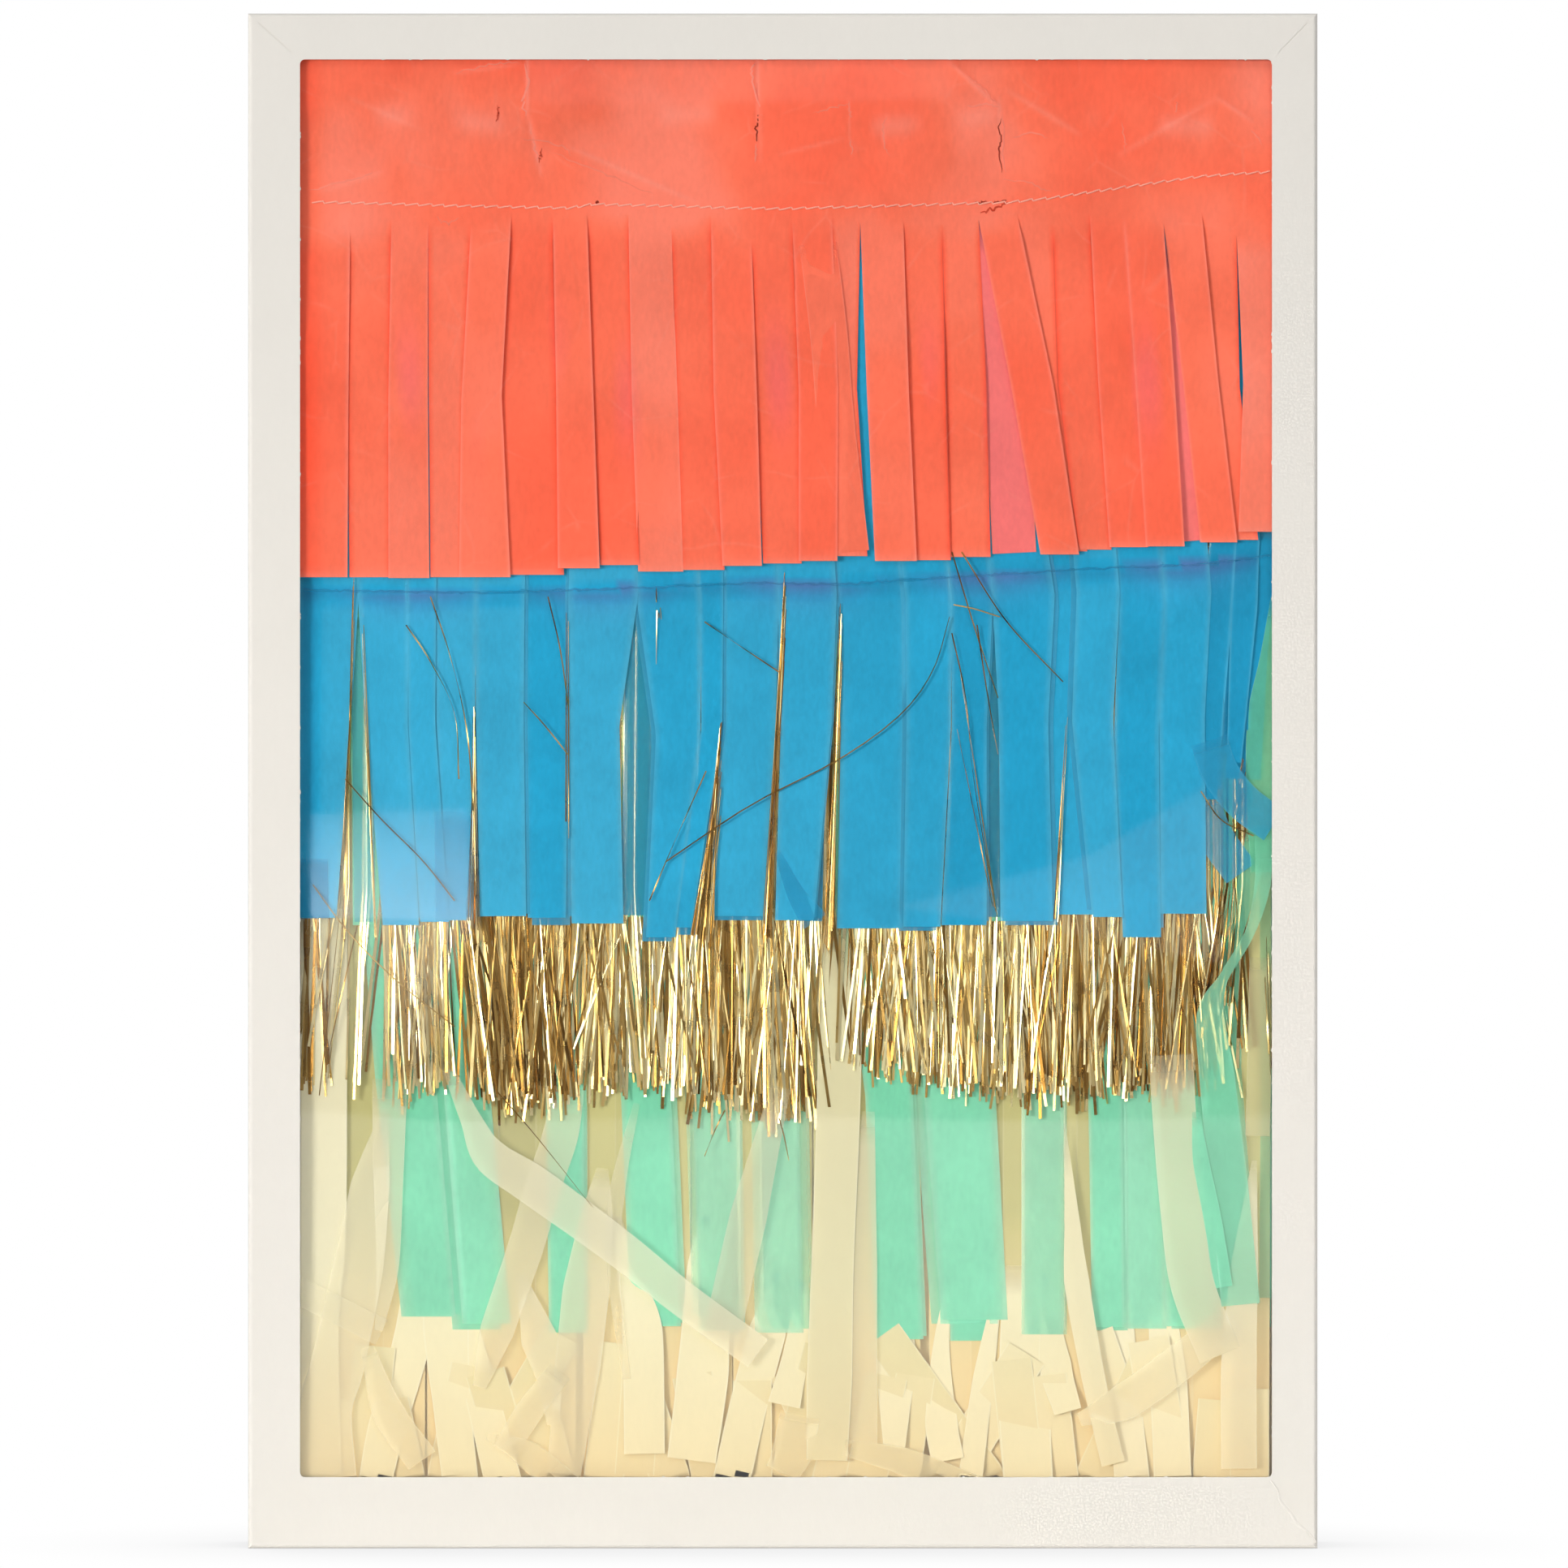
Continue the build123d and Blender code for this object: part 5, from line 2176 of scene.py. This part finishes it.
@dataclass
class RearGold:
    """The foil row of a panel behind the front one."""

    stack: Stack
    panel: int
    length: float
    strands: int = 170
    half_width: float = 0.4 * MM
    places: int = 6

    def surface(self) -> Surface:
        """Strands side by side, each with a small slant, twist and tone of its own.

        Returns:
            All strands with their tones.
        """
        rng = np.random.default_rng(900 + self.panel)
        n = self.strands
        margin = 2 * self.half_width
        top = np.linspace(self.stack.left + margin, self.stack.right - margin, n)
        tip = np.clip(top + rng.normal(0, 1.6, n) * MM, self.stack.left + margin, self.stack.right - margin)
        end = self.stack.seam_z - self.length + rng.normal(0, 1.4, n) * MM
        share = np.linspace(0, 1, self.places)
        x = top[:, None] + (tip - top)[:, None] * share
        z = self.stack.head_top + (end - self.stack.head_top)[:, None] * share
        y = self.stack.layer_y(self.panel, Layer.GOLD) + rng.uniform(-0.06, 0.06, (n, 1)) * MM
        path = xyz(x, y, z)
        across = across_path(path, rng.normal(0, 0.16, (n, 1))) * self.half_width
        sheet = ribbon_surface(path, across)
        # Each strand's tone paints its reflection brighter or darker.
        return sheet.marked(tone=np.repeat(np.clip(rng.normal(0.05, 0.5, n), -1, 1), self.places * 2))


@dataclass
class HeaderWrap:
    """The coral sheet going over the top of the rows and down behind them as the back ply."""

    stack: Stack
    panel: int
    columns: int = 48
    fold_rows: int = 8
    ply_rows: int = 20

    def surface(self) -> Surface:
        """A half circle over the top, then a flat ply, over the whole width.

        Returns:
            The sheet with its marks.
        """
        front_y = self.stack.layer_y(self.panel, Layer.CORAL)
        if self.panel == 1:
            front_y -= 0.2 * MM
        back_y = self.stack.layer_y(self.panel, Layer.BACK_PLY)
        reach = abs(back_y - front_y) / 2
        angle = np.linspace(0, math.pi, self.fold_rows)
        fold_y = (front_y + back_y) / 2 - (back_y - front_y) / 2 * np.cos(angle)
        fold_z = self.stack.header_top - reach + reach * np.sin(angle) * 0.9
        down = np.linspace(0, 1, self.ply_rows)[1:]
        ply_z = fold_z[-1] + (self.stack.band_low - fold_z[-1]) * down
        y = np.concatenate([fold_y, np.full(len(down), back_y)])
        z = np.concatenate([fold_z, ply_z])
        x = np.linspace(self.stack.left, self.stack.right, self.columns)
        points = xyz(x[None, :], y[:, None], z[:, None])
        crumple = creases(
            points[..., 0], points[..., 2], np.random.default_rng(60 + self.panel), 26 * MM, 0.12 * MM, 7
        )
        fade = np.concatenate([np.zeros(self.fold_rows), np.minimum(down * 5, 1)])[:, None]
        points[..., 1] += crumple * fade
        return grid_surface(points).marked(tone=0.0, sheer=1.0, worn=0.0, bleed=0.0)


@dataclass
class SeamThread:
    """Lockstitch through a header: a thread on each side that dips where the stitches meet.

    Args:
        stack: places of the garland.
        panel: number of the panel.
        line: x and z of the seam.
        face: the header's y at a place, for the side that shows.
        stitch: length of one stitch.
        radius: of the thread.
    """

    stack: Stack
    panel: int
    line: Array
    face: Callable[[Array, Array], Array] | None = None
    stitch: float = 2.7 * MM
    radius: float = 0.165 * MM

    def surface(self) -> Surface:
        """Both threads as tubes, with places closer than a quarter of a stitch.

        Returns:
            The two tubes.
        """
        front = self.panel == 1
        count = 640 if front else 220
        x = np.linspace(self.line[0, 0], self.line[-1, 0], count)
        z = np.interp(x, self.line[:, 0], self.line[:, 1])
        rng = np.random.default_rng(70 + self.panel)
        beat = np.abs(np.sin(math.pi * (x - x[0]) / self.stitch + 0.3 * np.sin(x * 90)))
        slant = (np.mod((x - x[0]) / self.stitch, 1) - 0.5) * 0.5 * MM
        z = z + slant * (1 if front else 0.5) + rng.normal(0, 0.02, count) * MM
        near = self.stack.front(self.panel) if self.face is None else self.face(x, z)
        far = self.stack.front(self.panel) + self.stack.thickness
        made = []
        for y, outward in ((near, -1), (far, 1)):
            height = y + outward * self.radius * (2.1 * np.sqrt(np.minimum(1.6 * beat, 1)) - 1.0)
            made.append(tube_surface(xyz(x, height, z), self.radius, 6 if front else 4))
        return Surface.joined(made)


@dataclass
class FoldBand:
    """The header where it turns from a panel to the one in front: two plies round the hinge line.

    Args:
        stack: places of the garland.
        panel: the panel behind.
    """

    stack: Stack
    panel: int
    turn_places: int = 15
    rows: int = 14
    overlap: float = 1.2 * MM
    hinge_out: float = 0.3 * MM

    @property
    def side(self) -> Side:
        """Folds of even panels are on the right."""
        return Side.RIGHT if self.panel % 2 == 0 else Side.LEFT

    def surface(self) -> Surface:
        """Each ply: a short flat, a half circle round the hinge line and a short flat.

        Returns:
            Both plies with their marks.
        """
        sign = self.side.value
        hinge_x = self.stack.right + self.hinge_out if sign > 0 else self.stack.left - self.hinge_out
        room = (self.stack.pitch - self.stack.thickness) / 2
        hinge_y = self.stack.front(self.panel) - room
        plies = []
        for radius, depth in ((room + 0.1 * MM, 0.0), (room + self.stack.thickness - 0.1 * MM, 0.03 * MM)):
            angle = np.linspace(math.pi / 2, -math.pi / 2, self.turn_places)
            x = hinge_x + sign * radius * np.cos(angle)
            y = hinge_y + radius * np.sin(angle)
            x = np.concatenate([[hinge_x - sign * self.overlap], x, [hinge_x - sign * self.overlap]])
            y = np.concatenate([[y[0] + depth], y, [y[-1] - depth]])
            z = np.linspace(self.stack.header_top - 0.5 * MM, self.stack.band_low + 0.3 * MM, self.rows)
            points = xyz(x[None, :], y[None, :], z[:, None])
            wobble = 0.05 * MM * np.sin(z * 420 + self.panel + radius * 3000)[:, None]
            points[..., 0] += sign * wobble * np.concatenate([[0], np.cos(angle), [0]])
            plies.append(grid_surface(points if sign > 0 else points[:, ::-1]))
        return Surface.joined(plies).marked(tone=-0.1, sheer=1.0, worn=0.1, bleed=0.0)

    def across_joint(self, piece: bpy.types.Object) -> None:
        """Bakes the band's place into its mesh; the hinge line and the two panels' bodies are worked out but
        not used.

        Args:
            piece: the band's object.
        """
        hinge_x = self.stack.right if self.side is Side.RIGHT else self.stack.left
        hinge_y = self.stack.front(self.panel) - (self.stack.pitch - self.stack.thickness) / 2
        reach = self.stack.pitch / 2 + self.stack.thickness / 2
        rear, front = self.stack.body(self.panel), self.stack.body(self.panel - 1)
        start = (hinge_x, hinge_y + reach, self.stack.seam_z)
        end = (hinge_x, hinge_y - reach, self.stack.seam_z)
        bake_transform(piece)


@dataclass
class Garland:
    """The folded garland: its front panel, the panels behind and the folds between them."""

    stack: Stack
    wardrobe: Wardrobe
    blue_length: float = 147 * MM
    gold_length: float = 181 * MM
    mint_length: float = 227 * MM
    coral_length: float = 74 * MM
    seam_px: tuple[float, ...] = (383, 560, 700, 730, 960, 1240, 1300, 1400, 1480, 1566)
    seam_rows: tuple[float, ...] = (248, 253, 256, 251, 257, 249, 243, 228, 217, 211)

    def paper(self, surfaces: Sequence[Surface]) -> Surface:
        """Joins sheets of paper and gives them their thickness.

        Args:
            surfaces: the sheets of one piece.

        Returns:
            A closed surface with the four marks that tissue needs.
        """
        keep = ("tone", "sheer", "worn", "bleed")
        trimmed = [Surface(s.points, s.quads, {k: s.marks[k] for k in keep}) for s in surfaces]
        return Surface.joined(trimmed).thickened(self.stack.paper)

    def build_front(self) -> None:
        """The panel behind the window, every strip in its photographed place."""
        hang, body = self.wardrobe.hang, self.stack.body(1)
        coral = FrontCoral(self.stack)
        rng = np.random.default_rng(17)
        sheets = [coral.surface(), HeaderWrap(self.stack, 1).surface(), *[s.surface() for s in PINK_LOOSE]]
        sheets += [crease.surface(coral, rng) for crease in CREASES]
        hang(self.paper(sheets), "coral_header_sheet_1", CORAL_TISSUE, body, ["coral_header_1"])
        sheets = [FrontBlue(self.stack).surface(), *[s.surface() for s in BLUE_LOOSE]]
        hang(self.paper(sheets), "blue_strips_1", BLUE_TISSUE, body, ["blue_fringe_1"])
        foil = FrontGold(self.stack).surface().thickened(self.stack.foil)
        hang(foil, "gold_strands_1", GOLD_FOIL, body, ["gold_fringe_1"])
        sheets = [FrontMint(self.stack).surface(), *[s.surface() for s in MINT_LOOSE]]
        hang(self.paper(sheets), "mint_strips_1", MINT_TISSUE, body, ["mint_fringe_1"])
        fold = self.stack.front_floor + 0.05 * MM
        sheets = [CreamRow(self.stack, 1, 25, 51).surface()]
        sheets += [round_the_fold(s.surface(), fold) for s in CREAM_LOOSE]
        hang(self.paper(sheets), "cream_strips_1", CREAM_TISSUE, body, ["cream_fringe_1"])
        line = np.stack([PHOTO.x(self.seam_px), PHOTO.z(self.seam_rows)], axis=1)
        thread = SeamThread(self.stack, 1, line, coral.face).surface()
        hang(thread, "stitching_1", PALE_THREAD, body, ["seam_thread_1"])

    def build_rear(self, panel: int) -> None:
        """A panel behind the front one.

        Args:
            panel: its number.
        """
        hang, body = self.wardrobe.hang, self.stack.body(panel)
        coral = RearRow(self.stack, panel, Layer.CORAL, self.coral_length).surface()
        sheets = [coral, HeaderWrap(self.stack, panel).surface()]
        hang(self.paper(sheets), f"coral_header_sheet_{panel}", CORAL_TISSUE, body, [f"coral_header_{panel}"])
        for layer, length, finish, word in (
            (Layer.BLUE, self.blue_length, BLUE_TISSUE, "blue"),
            (Layer.MINT, self.mint_length, MINT_TISSUE, "mint"),
        ):
            sheet = RearRow(self.stack, panel, layer, length).surface()
            hang(self.paper([sheet]), f"{word}_strips_{panel}", finish, body, [f"{word}_fringe_{panel}"])
        foil = RearGold(self.stack, panel, self.gold_length).surface().thickened(self.stack.foil)
        hang(foil, f"gold_strands_{panel}", GOLD_FOIL, body, [f"gold_fringe_{panel}"])
        cream = CreamRow(self.stack, panel, 24, 500 + panel).surface()
        hang(self.paper([cream]), f"cream_strips_{panel}", CREAM_TISSUE, body, [f"cream_fringe_{panel}"])
        ends = np.array([self.stack.left + 0.6 * MM, self.stack.right - 0.6 * MM])
        line = np.stack([ends, np.full(2, self.stack.seam_z)], axis=1)
        thread = SeamThread(self.stack, panel, line).surface()
        hang(thread, f"stitching_{panel}", PALE_THREAD, body, [f"seam_thread_{panel}"])

    def build_folds(self) -> None:
        """The header's turns between neighbouring panels."""
        for panel in range(2, self.stack.panels + 1):
            band = FoldBand(self.stack, panel)
            name = f"header_fold_{panel}"
            piece = self.paper([band.surface()]).to_object(name, self.wardrobe[CORAL_TISSUE])
            band.across_joint(piece)
            log.info("made %s between %s and %s", name, self.stack.body(panel), self.stack.body(panel - 1))

    def build(self) -> None:
        """All panels, front to back, then the folds."""
        self.build_front()
        for panel in range(2, self.stack.panels + 1):
            self.build_rear(panel)
        self.build_folds()


@dataclass
class WindowBox:
    """The card box: lid with its window, clear film and tray."""

    wardrobe: Wardrobe
    left_px: float = 369.6
    right_px: float = 1567.4
    top_px: float = 73.2
    bottom_px: float = 1820.1
    nibs: int = 110
    nib_depth: float = 0.14 * MM
    wide_px: float = 1197.0
    tall_px: float = 1747.0
    crease_px: tuple[tuple[float, float], ...] = (
        (1566, 1824), (1574, 1836), (1578, 1850), (1590, 1864), (1599, 1878), (1612, 1888), (1622, 1900),
    )

    def torn_edge(self, rng: np.random.Generator) -> Surface:
        """Fibres that the die has torn along the window: low humps that point into it.

        Args:
            rng: where the values are drawn from.

        Returns:
            The humps.
        """
        n = self.nibs
        along = rng.uniform(0, 1, n)
        tall = np.arange(n) % 3 > 0
        left = rng.uniform(0, 1, n) > 0.5
        x = np.where(tall, np.where(left, self.left_px, self.right_px), self.left_px + along * self.wide_px)
        y = np.where(tall, self.top_px + along * self.tall_px, np.where(left, self.top_px, self.bottom_px))
        base = xyz(PHOTO.x(x), CAD_BOX[0].y + 0.3 * MM, PHOTO.z(y))
        run = np.where(tall[:, None], [0.0, 0, 1], [1.0, 0, 0])
        inward = np.where(left, 1, -1)[:, None] * np.where(tall[:, None], [1.0, 0, 0], [0.0, 0, -1])
        long = rng.uniform(0.15, 0.6, n) * MM
        deep = self.nib_depth * rng.uniform(0.3, 1.6, n)
        steps = np.array([-1.0, -0.4, 0.35, 1.0])
        rise = np.stack([0 * deep, deep, deep * rng.uniform(0.4, 1, n), 0 * deep], axis=1)
        foot = base[:, None] + run[:, None] * steps[:, None] * long[:, None, None]
        root, tip = foot - inward[:, None] * 0.2 * MM, foot + inward[:, None] * rise[..., None]
        sheet = grid_surface(np.stack([root, tip], axis=1))
        turned = sheet.normals()[sheet.quads[:, :1], 1] > 0
        sheet.quads = np.where(turned, sheet.quads[:, ::-1], sheet.quads)
        return sheet.thickened(0.3 * MM)

    def pinched_corner(self) -> Surface:
        """The glued mitre at the lid's lower right corner: a low crooked ridge.

        Returns:
            The ridge.
        """
        count = 30
        path = photo_path(self.crease_px, count, CAD_BOX[0].y + 0.03 * MM)
        taper = np.sin(np.linspace(0.05, math.pi - 0.05, count)) ** 0.5
        across = across_path(path[None])[0] * (0.3 * MM * taper)[:, None]
        sheet = ribbon_surface(path[None], across[None], (-1.0, 0.0, 1.0))
        sheet.points[1::3, 1] -= 0.09 * MM
        return sheet.thickened(0.1 * MM)

    def build(self) -> None:
        """Dresses the CAD pieces and adds what the die and the gluing left on the card."""
        self.wardrobe.dress("lid_card", WHITE_CARD)
        self.wardrobe.dress("tray_card", WHITE_CARD)
        pane = self.wardrobe.dress("window_pane", CLEAR_FILM)
        pane.visible_shadow = False
        pane.visible_diffuse = False
        self.wardrobe.hang(self.torn_edge(np.random.default_rng(3)), "torn_window_edge", WHITE_CARD, "lid")
        self.wardrobe.hang(self.pinched_corner(), "glued_corner", WHITE_CARD, "lid")


@dataclass(frozen=True)
class Lamp:
    """A lamp with a flat rectangular face.

    Args:
        name: of the lamp.
        place, aim: where it stands and what it looks at.
        power: in watts.
        size: of its face.
        spread: of its beam, in degrees.
        colour: of its light.
        shines: whether gloss and glass show it.
    """

    name: str
    place: tuple[float, float, float]
    aim: tuple[float, float, float]
    power: float
    size: tuple[float, float]
    spread: float
    colour: tuple[float, float, float]
    shines: bool

    def hang(self) -> None:
        """Adds the lamp to the scene, turned to its aim."""
        lamp = bpy.data.lights.new(self.name, "AREA")
        lamp.shape = "RECTANGLE"
        lamp.energy, lamp.color, lamp.spread = self.power, self.colour, math.radians(self.spread)
        lamp.size, lamp.size_y = self.size
        holder = bpy.data.objects.new(self.name, lamp)
        bpy.context.scene.collection.objects.link(holder)
        holder.location = self.place
        holder.rotation_euler = (Vector(self.aim) - Vector(self.place)).to_track_quat("-Z", "Y").to_euler()
        holder.visible_camera = False
        holder.visible_glossy = holder.visible_transmission = self.shines


LAMPS = (
    Lamp("key", (-4.4, -4.2, 0.35), (0, 0, 0.14), 324.0, (1.7, 1.7), 180, (1.0, 0.985, 0.96), True),
    Lamp("above", (0.4, -4.2, 4.4), (0, 0, 0.15), 62.0, (2.4, 2.4), 180, (0.98, 0.99, 1.0), True),
    Lamp("low", (0.0, -4.0, 0.06), (0, 0, 0.0), 0.42, (1.6, 0.1), 11, (1.0, 0.97, 0.91), False),
    Lamp("behind", (3.2, 3.6, 0.6), (0, 0, 0.15), 140.0, (1.4, 1.0), 180, (1.0, 0.99, 0.97), False),
)


@dataclass
class Studio:
    """Floor, light and camera."""

    distance: float = 2.2
    sensor: float = 36.0
    middle_row: float = 966.0
    middle_column: float = 966.0
    world_strength: float = 0.372
    clip: tuple[float, float] = (0.05, 50.0)
    wall_behind: float = 0.6
    cards_behind: float = 0.2
    wall_half: float = 2.4

    def shoot(self) -> None:
        """The camera, square to the window at the photograph's distance and frame."""
        scene = bpy.context.scene
        lens = bpy.data.cameras.new("camera")
        camera = bpy.data.objects.new("camera", lens)
        scene.collection.objects.link(camera)
        face_y = CAD_BOX[0].y
        wide = PHOTO.span(PHOTO.side_px)
        lens.sensor_width = self.sensor
        lens.lens = self.sensor * (self.distance + face_y) / wide
        lens.clip_start, lens.clip_end = self.clip
        across, up = float(PHOTO.x(self.middle_column)), float(PHOTO.z(self.middle_row))
        camera.location = (across, -self.distance, up)
        camera.rotation_euler = (math.pi / 2, 0, 0)
        scene.camera = camera
        scene.view_settings.view_transform = "Standard"

    def seen(self, nodes: Nodes) -> bpy.types.NodeSocket:
        """1 for rays of the camera and those that gloss or glass send on.

        Args:
            nodes: helper of the material's or the world's tree.

        Returns:
            The socket of the share.
        """
        path = nodes.add("LightPath")
        shine = nodes.math("MAXIMUM", path.outputs["Is Glossy Ray"], path.outputs["Is Transmission Ray"])
        return nodes.math("MAXIMUM", path.outputs["Is Camera Ray"], shine)

    def lay_floor(self, half: float = 6.0) -> None:
        """A pale floor that looks white, with the object's contact shadow painted from ambient occlusion.

        Args:
            half: from its middle to its edges.
        """
        points = np.array([[[x, y, 0.0] for x in (-half, half)] for y in (half, -half)])
        material, nodes = new_material("floor")
        paint = nodes.add("BsdfDiffuse", {"Color": (0.82, 0.82, 0.82, 1)})
        # Its glow is darker where ambient occlusion finds the object near: a painted contact shadow.
        near = nodes.add("AmbientOcclusion", {"Distance": 0.06}, samples=16)
        shade = nodes.math("ADD", nodes.math("MULTIPLY", near.outputs["AO"], 0.3), 0.7)
        grey = nodes.add("CombineColor", {0: shade, 1: shade, 2: shade}).outputs[0]
        glow = nodes.add("Emission", {"Color": grey})
        both = nodes.add("MixShader", {0: self.seen(nodes), 1: paint.outputs[0], 2: glow.outputs[0]})
        close_material(nodes, both)
        floor = grid_surface(points).to_object("floor", material)

    def light(self) -> None:
        """World light and the lamps, far enough away to light the lifted lid as well as the shut one."""
        world = bpy.data.worlds.new("studio")
        bpy.context.scene.world = world
        world.use_nodes = True
        nodes = Nodes(world.node_tree)
        room = nodes.add("Background", {"Color": (0.95, 0.97, 1.0, 1), "Strength": self.world_strength})
        white = nodes.add("Background", {"Color": (1, 1, 1, 1), "Strength": 1.0})
        both = nodes.add("MixShader", {0: self.seen(nodes), 1: room.outputs[0], 2: white.outputs[0]})
        output = nodes.add("OutputWorld")
        nodes.tree.links.new(both.outputs[0], output.inputs["Surface"])
        for lamp in LAMPS:
            lamp.hang()

    def hang_card(self, name: str, corners: Sequence[Sequence[float]], strength: tuple[float, float]) -> None:
        """A card that only reflections see.

        Args:
            name: of the card.
            corners: its four corners, going round.
            strength: how bright it is at its top and bottom, 1 being white.
        """
        material, nodes = new_material(name)
        heights = [corner[2] for corner in corners]
        height = nodes.add("SeparateXYZ", {0: nodes.place()}).outputs["Z"]
        glow = nodes.add(
            "MapRange",
            {0: height, 1: float(max(heights)), 2: float(min(heights)), 3: strength[0], 4: strength[1]},
        )
        close_material(nodes, nodes.add("Emission", {"Color": (1, 1, 1, 1), "Strength": glow.outputs[0]}))
        card = Surface(np.array(corners, float), np.array([[0, 1, 2, 3]])).to_object(name, material)
        for ray in ("camera", "diffuse", "volume_scatter", "shadow"):
            setattr(card, "visible_" + ray, False)

    def reflect(self) -> None:
        """A dark wall behind the camera, and pale cards whose mirror images the film shows."""
        wall_y, half = -self.distance - self.wall_behind, self.wall_half
        wall = [(-half, wall_y, -1), (half, wall_y, -1), (half, wall_y, 3.2), (-half, wall_y, 3.2)]
        self.hang_card("dark_wall", wall, (0.07, 0.07))
        eye = np.array([PHOTO.x(self.middle_column), PHOTO.z(self.middle_row)])
        card_y = -self.distance - self.cards_behind
        growth = (self.distance + CAD_BOX[0].y + (-card_y + CAD_BOX[0].y)) / (self.distance + CAD_BOX[0].y)
        for name, outline, strength in (
            ("card_top", ((650, 60), (1168, 60), (1168, 121), (650, 121)), (0.45, 0.42)),
            ("card_left", ((388, 1003), (585, 1003), (585, 1136), (388, 1136)), (0.9, 3.0)),
            ("card_left_low", ((388, 1136), (585, 1136), (520, 1330), (388, 1330)), (1.6, 0.2)),
            ("card_right", ((1100, 1110), (1340, 1050), (1490, 960), (1500, 1190)), (0.5, 0.6)),
        ):
            places = np.array([[PHOTO.x(px), PHOTO.z(py)] for px, py in outline])
            spread = eye + (places - eye) * growth
            self.hang_card(name, [(x, card_y, z) for x, z in spread], strength)

    def build(self) -> None:
        """Camera, floor, lights and reflections."""
        self.shoot()
        self.lay_floor()
        self.light()
        self.reflect()


def main() -> None:
    """Builds the classes in order."""
    logging.basicConfig(level=logging.INFO, format="%(name)s: %(message)s")
    wardrobe = Wardrobe(Groups(paper_grain_group(), crumple_group()))
    Studio().build()
    WindowBox(wardrobe).build()
    Garland(Stack(), wardrobe).build()


if __name__ == "__main__":
    main()
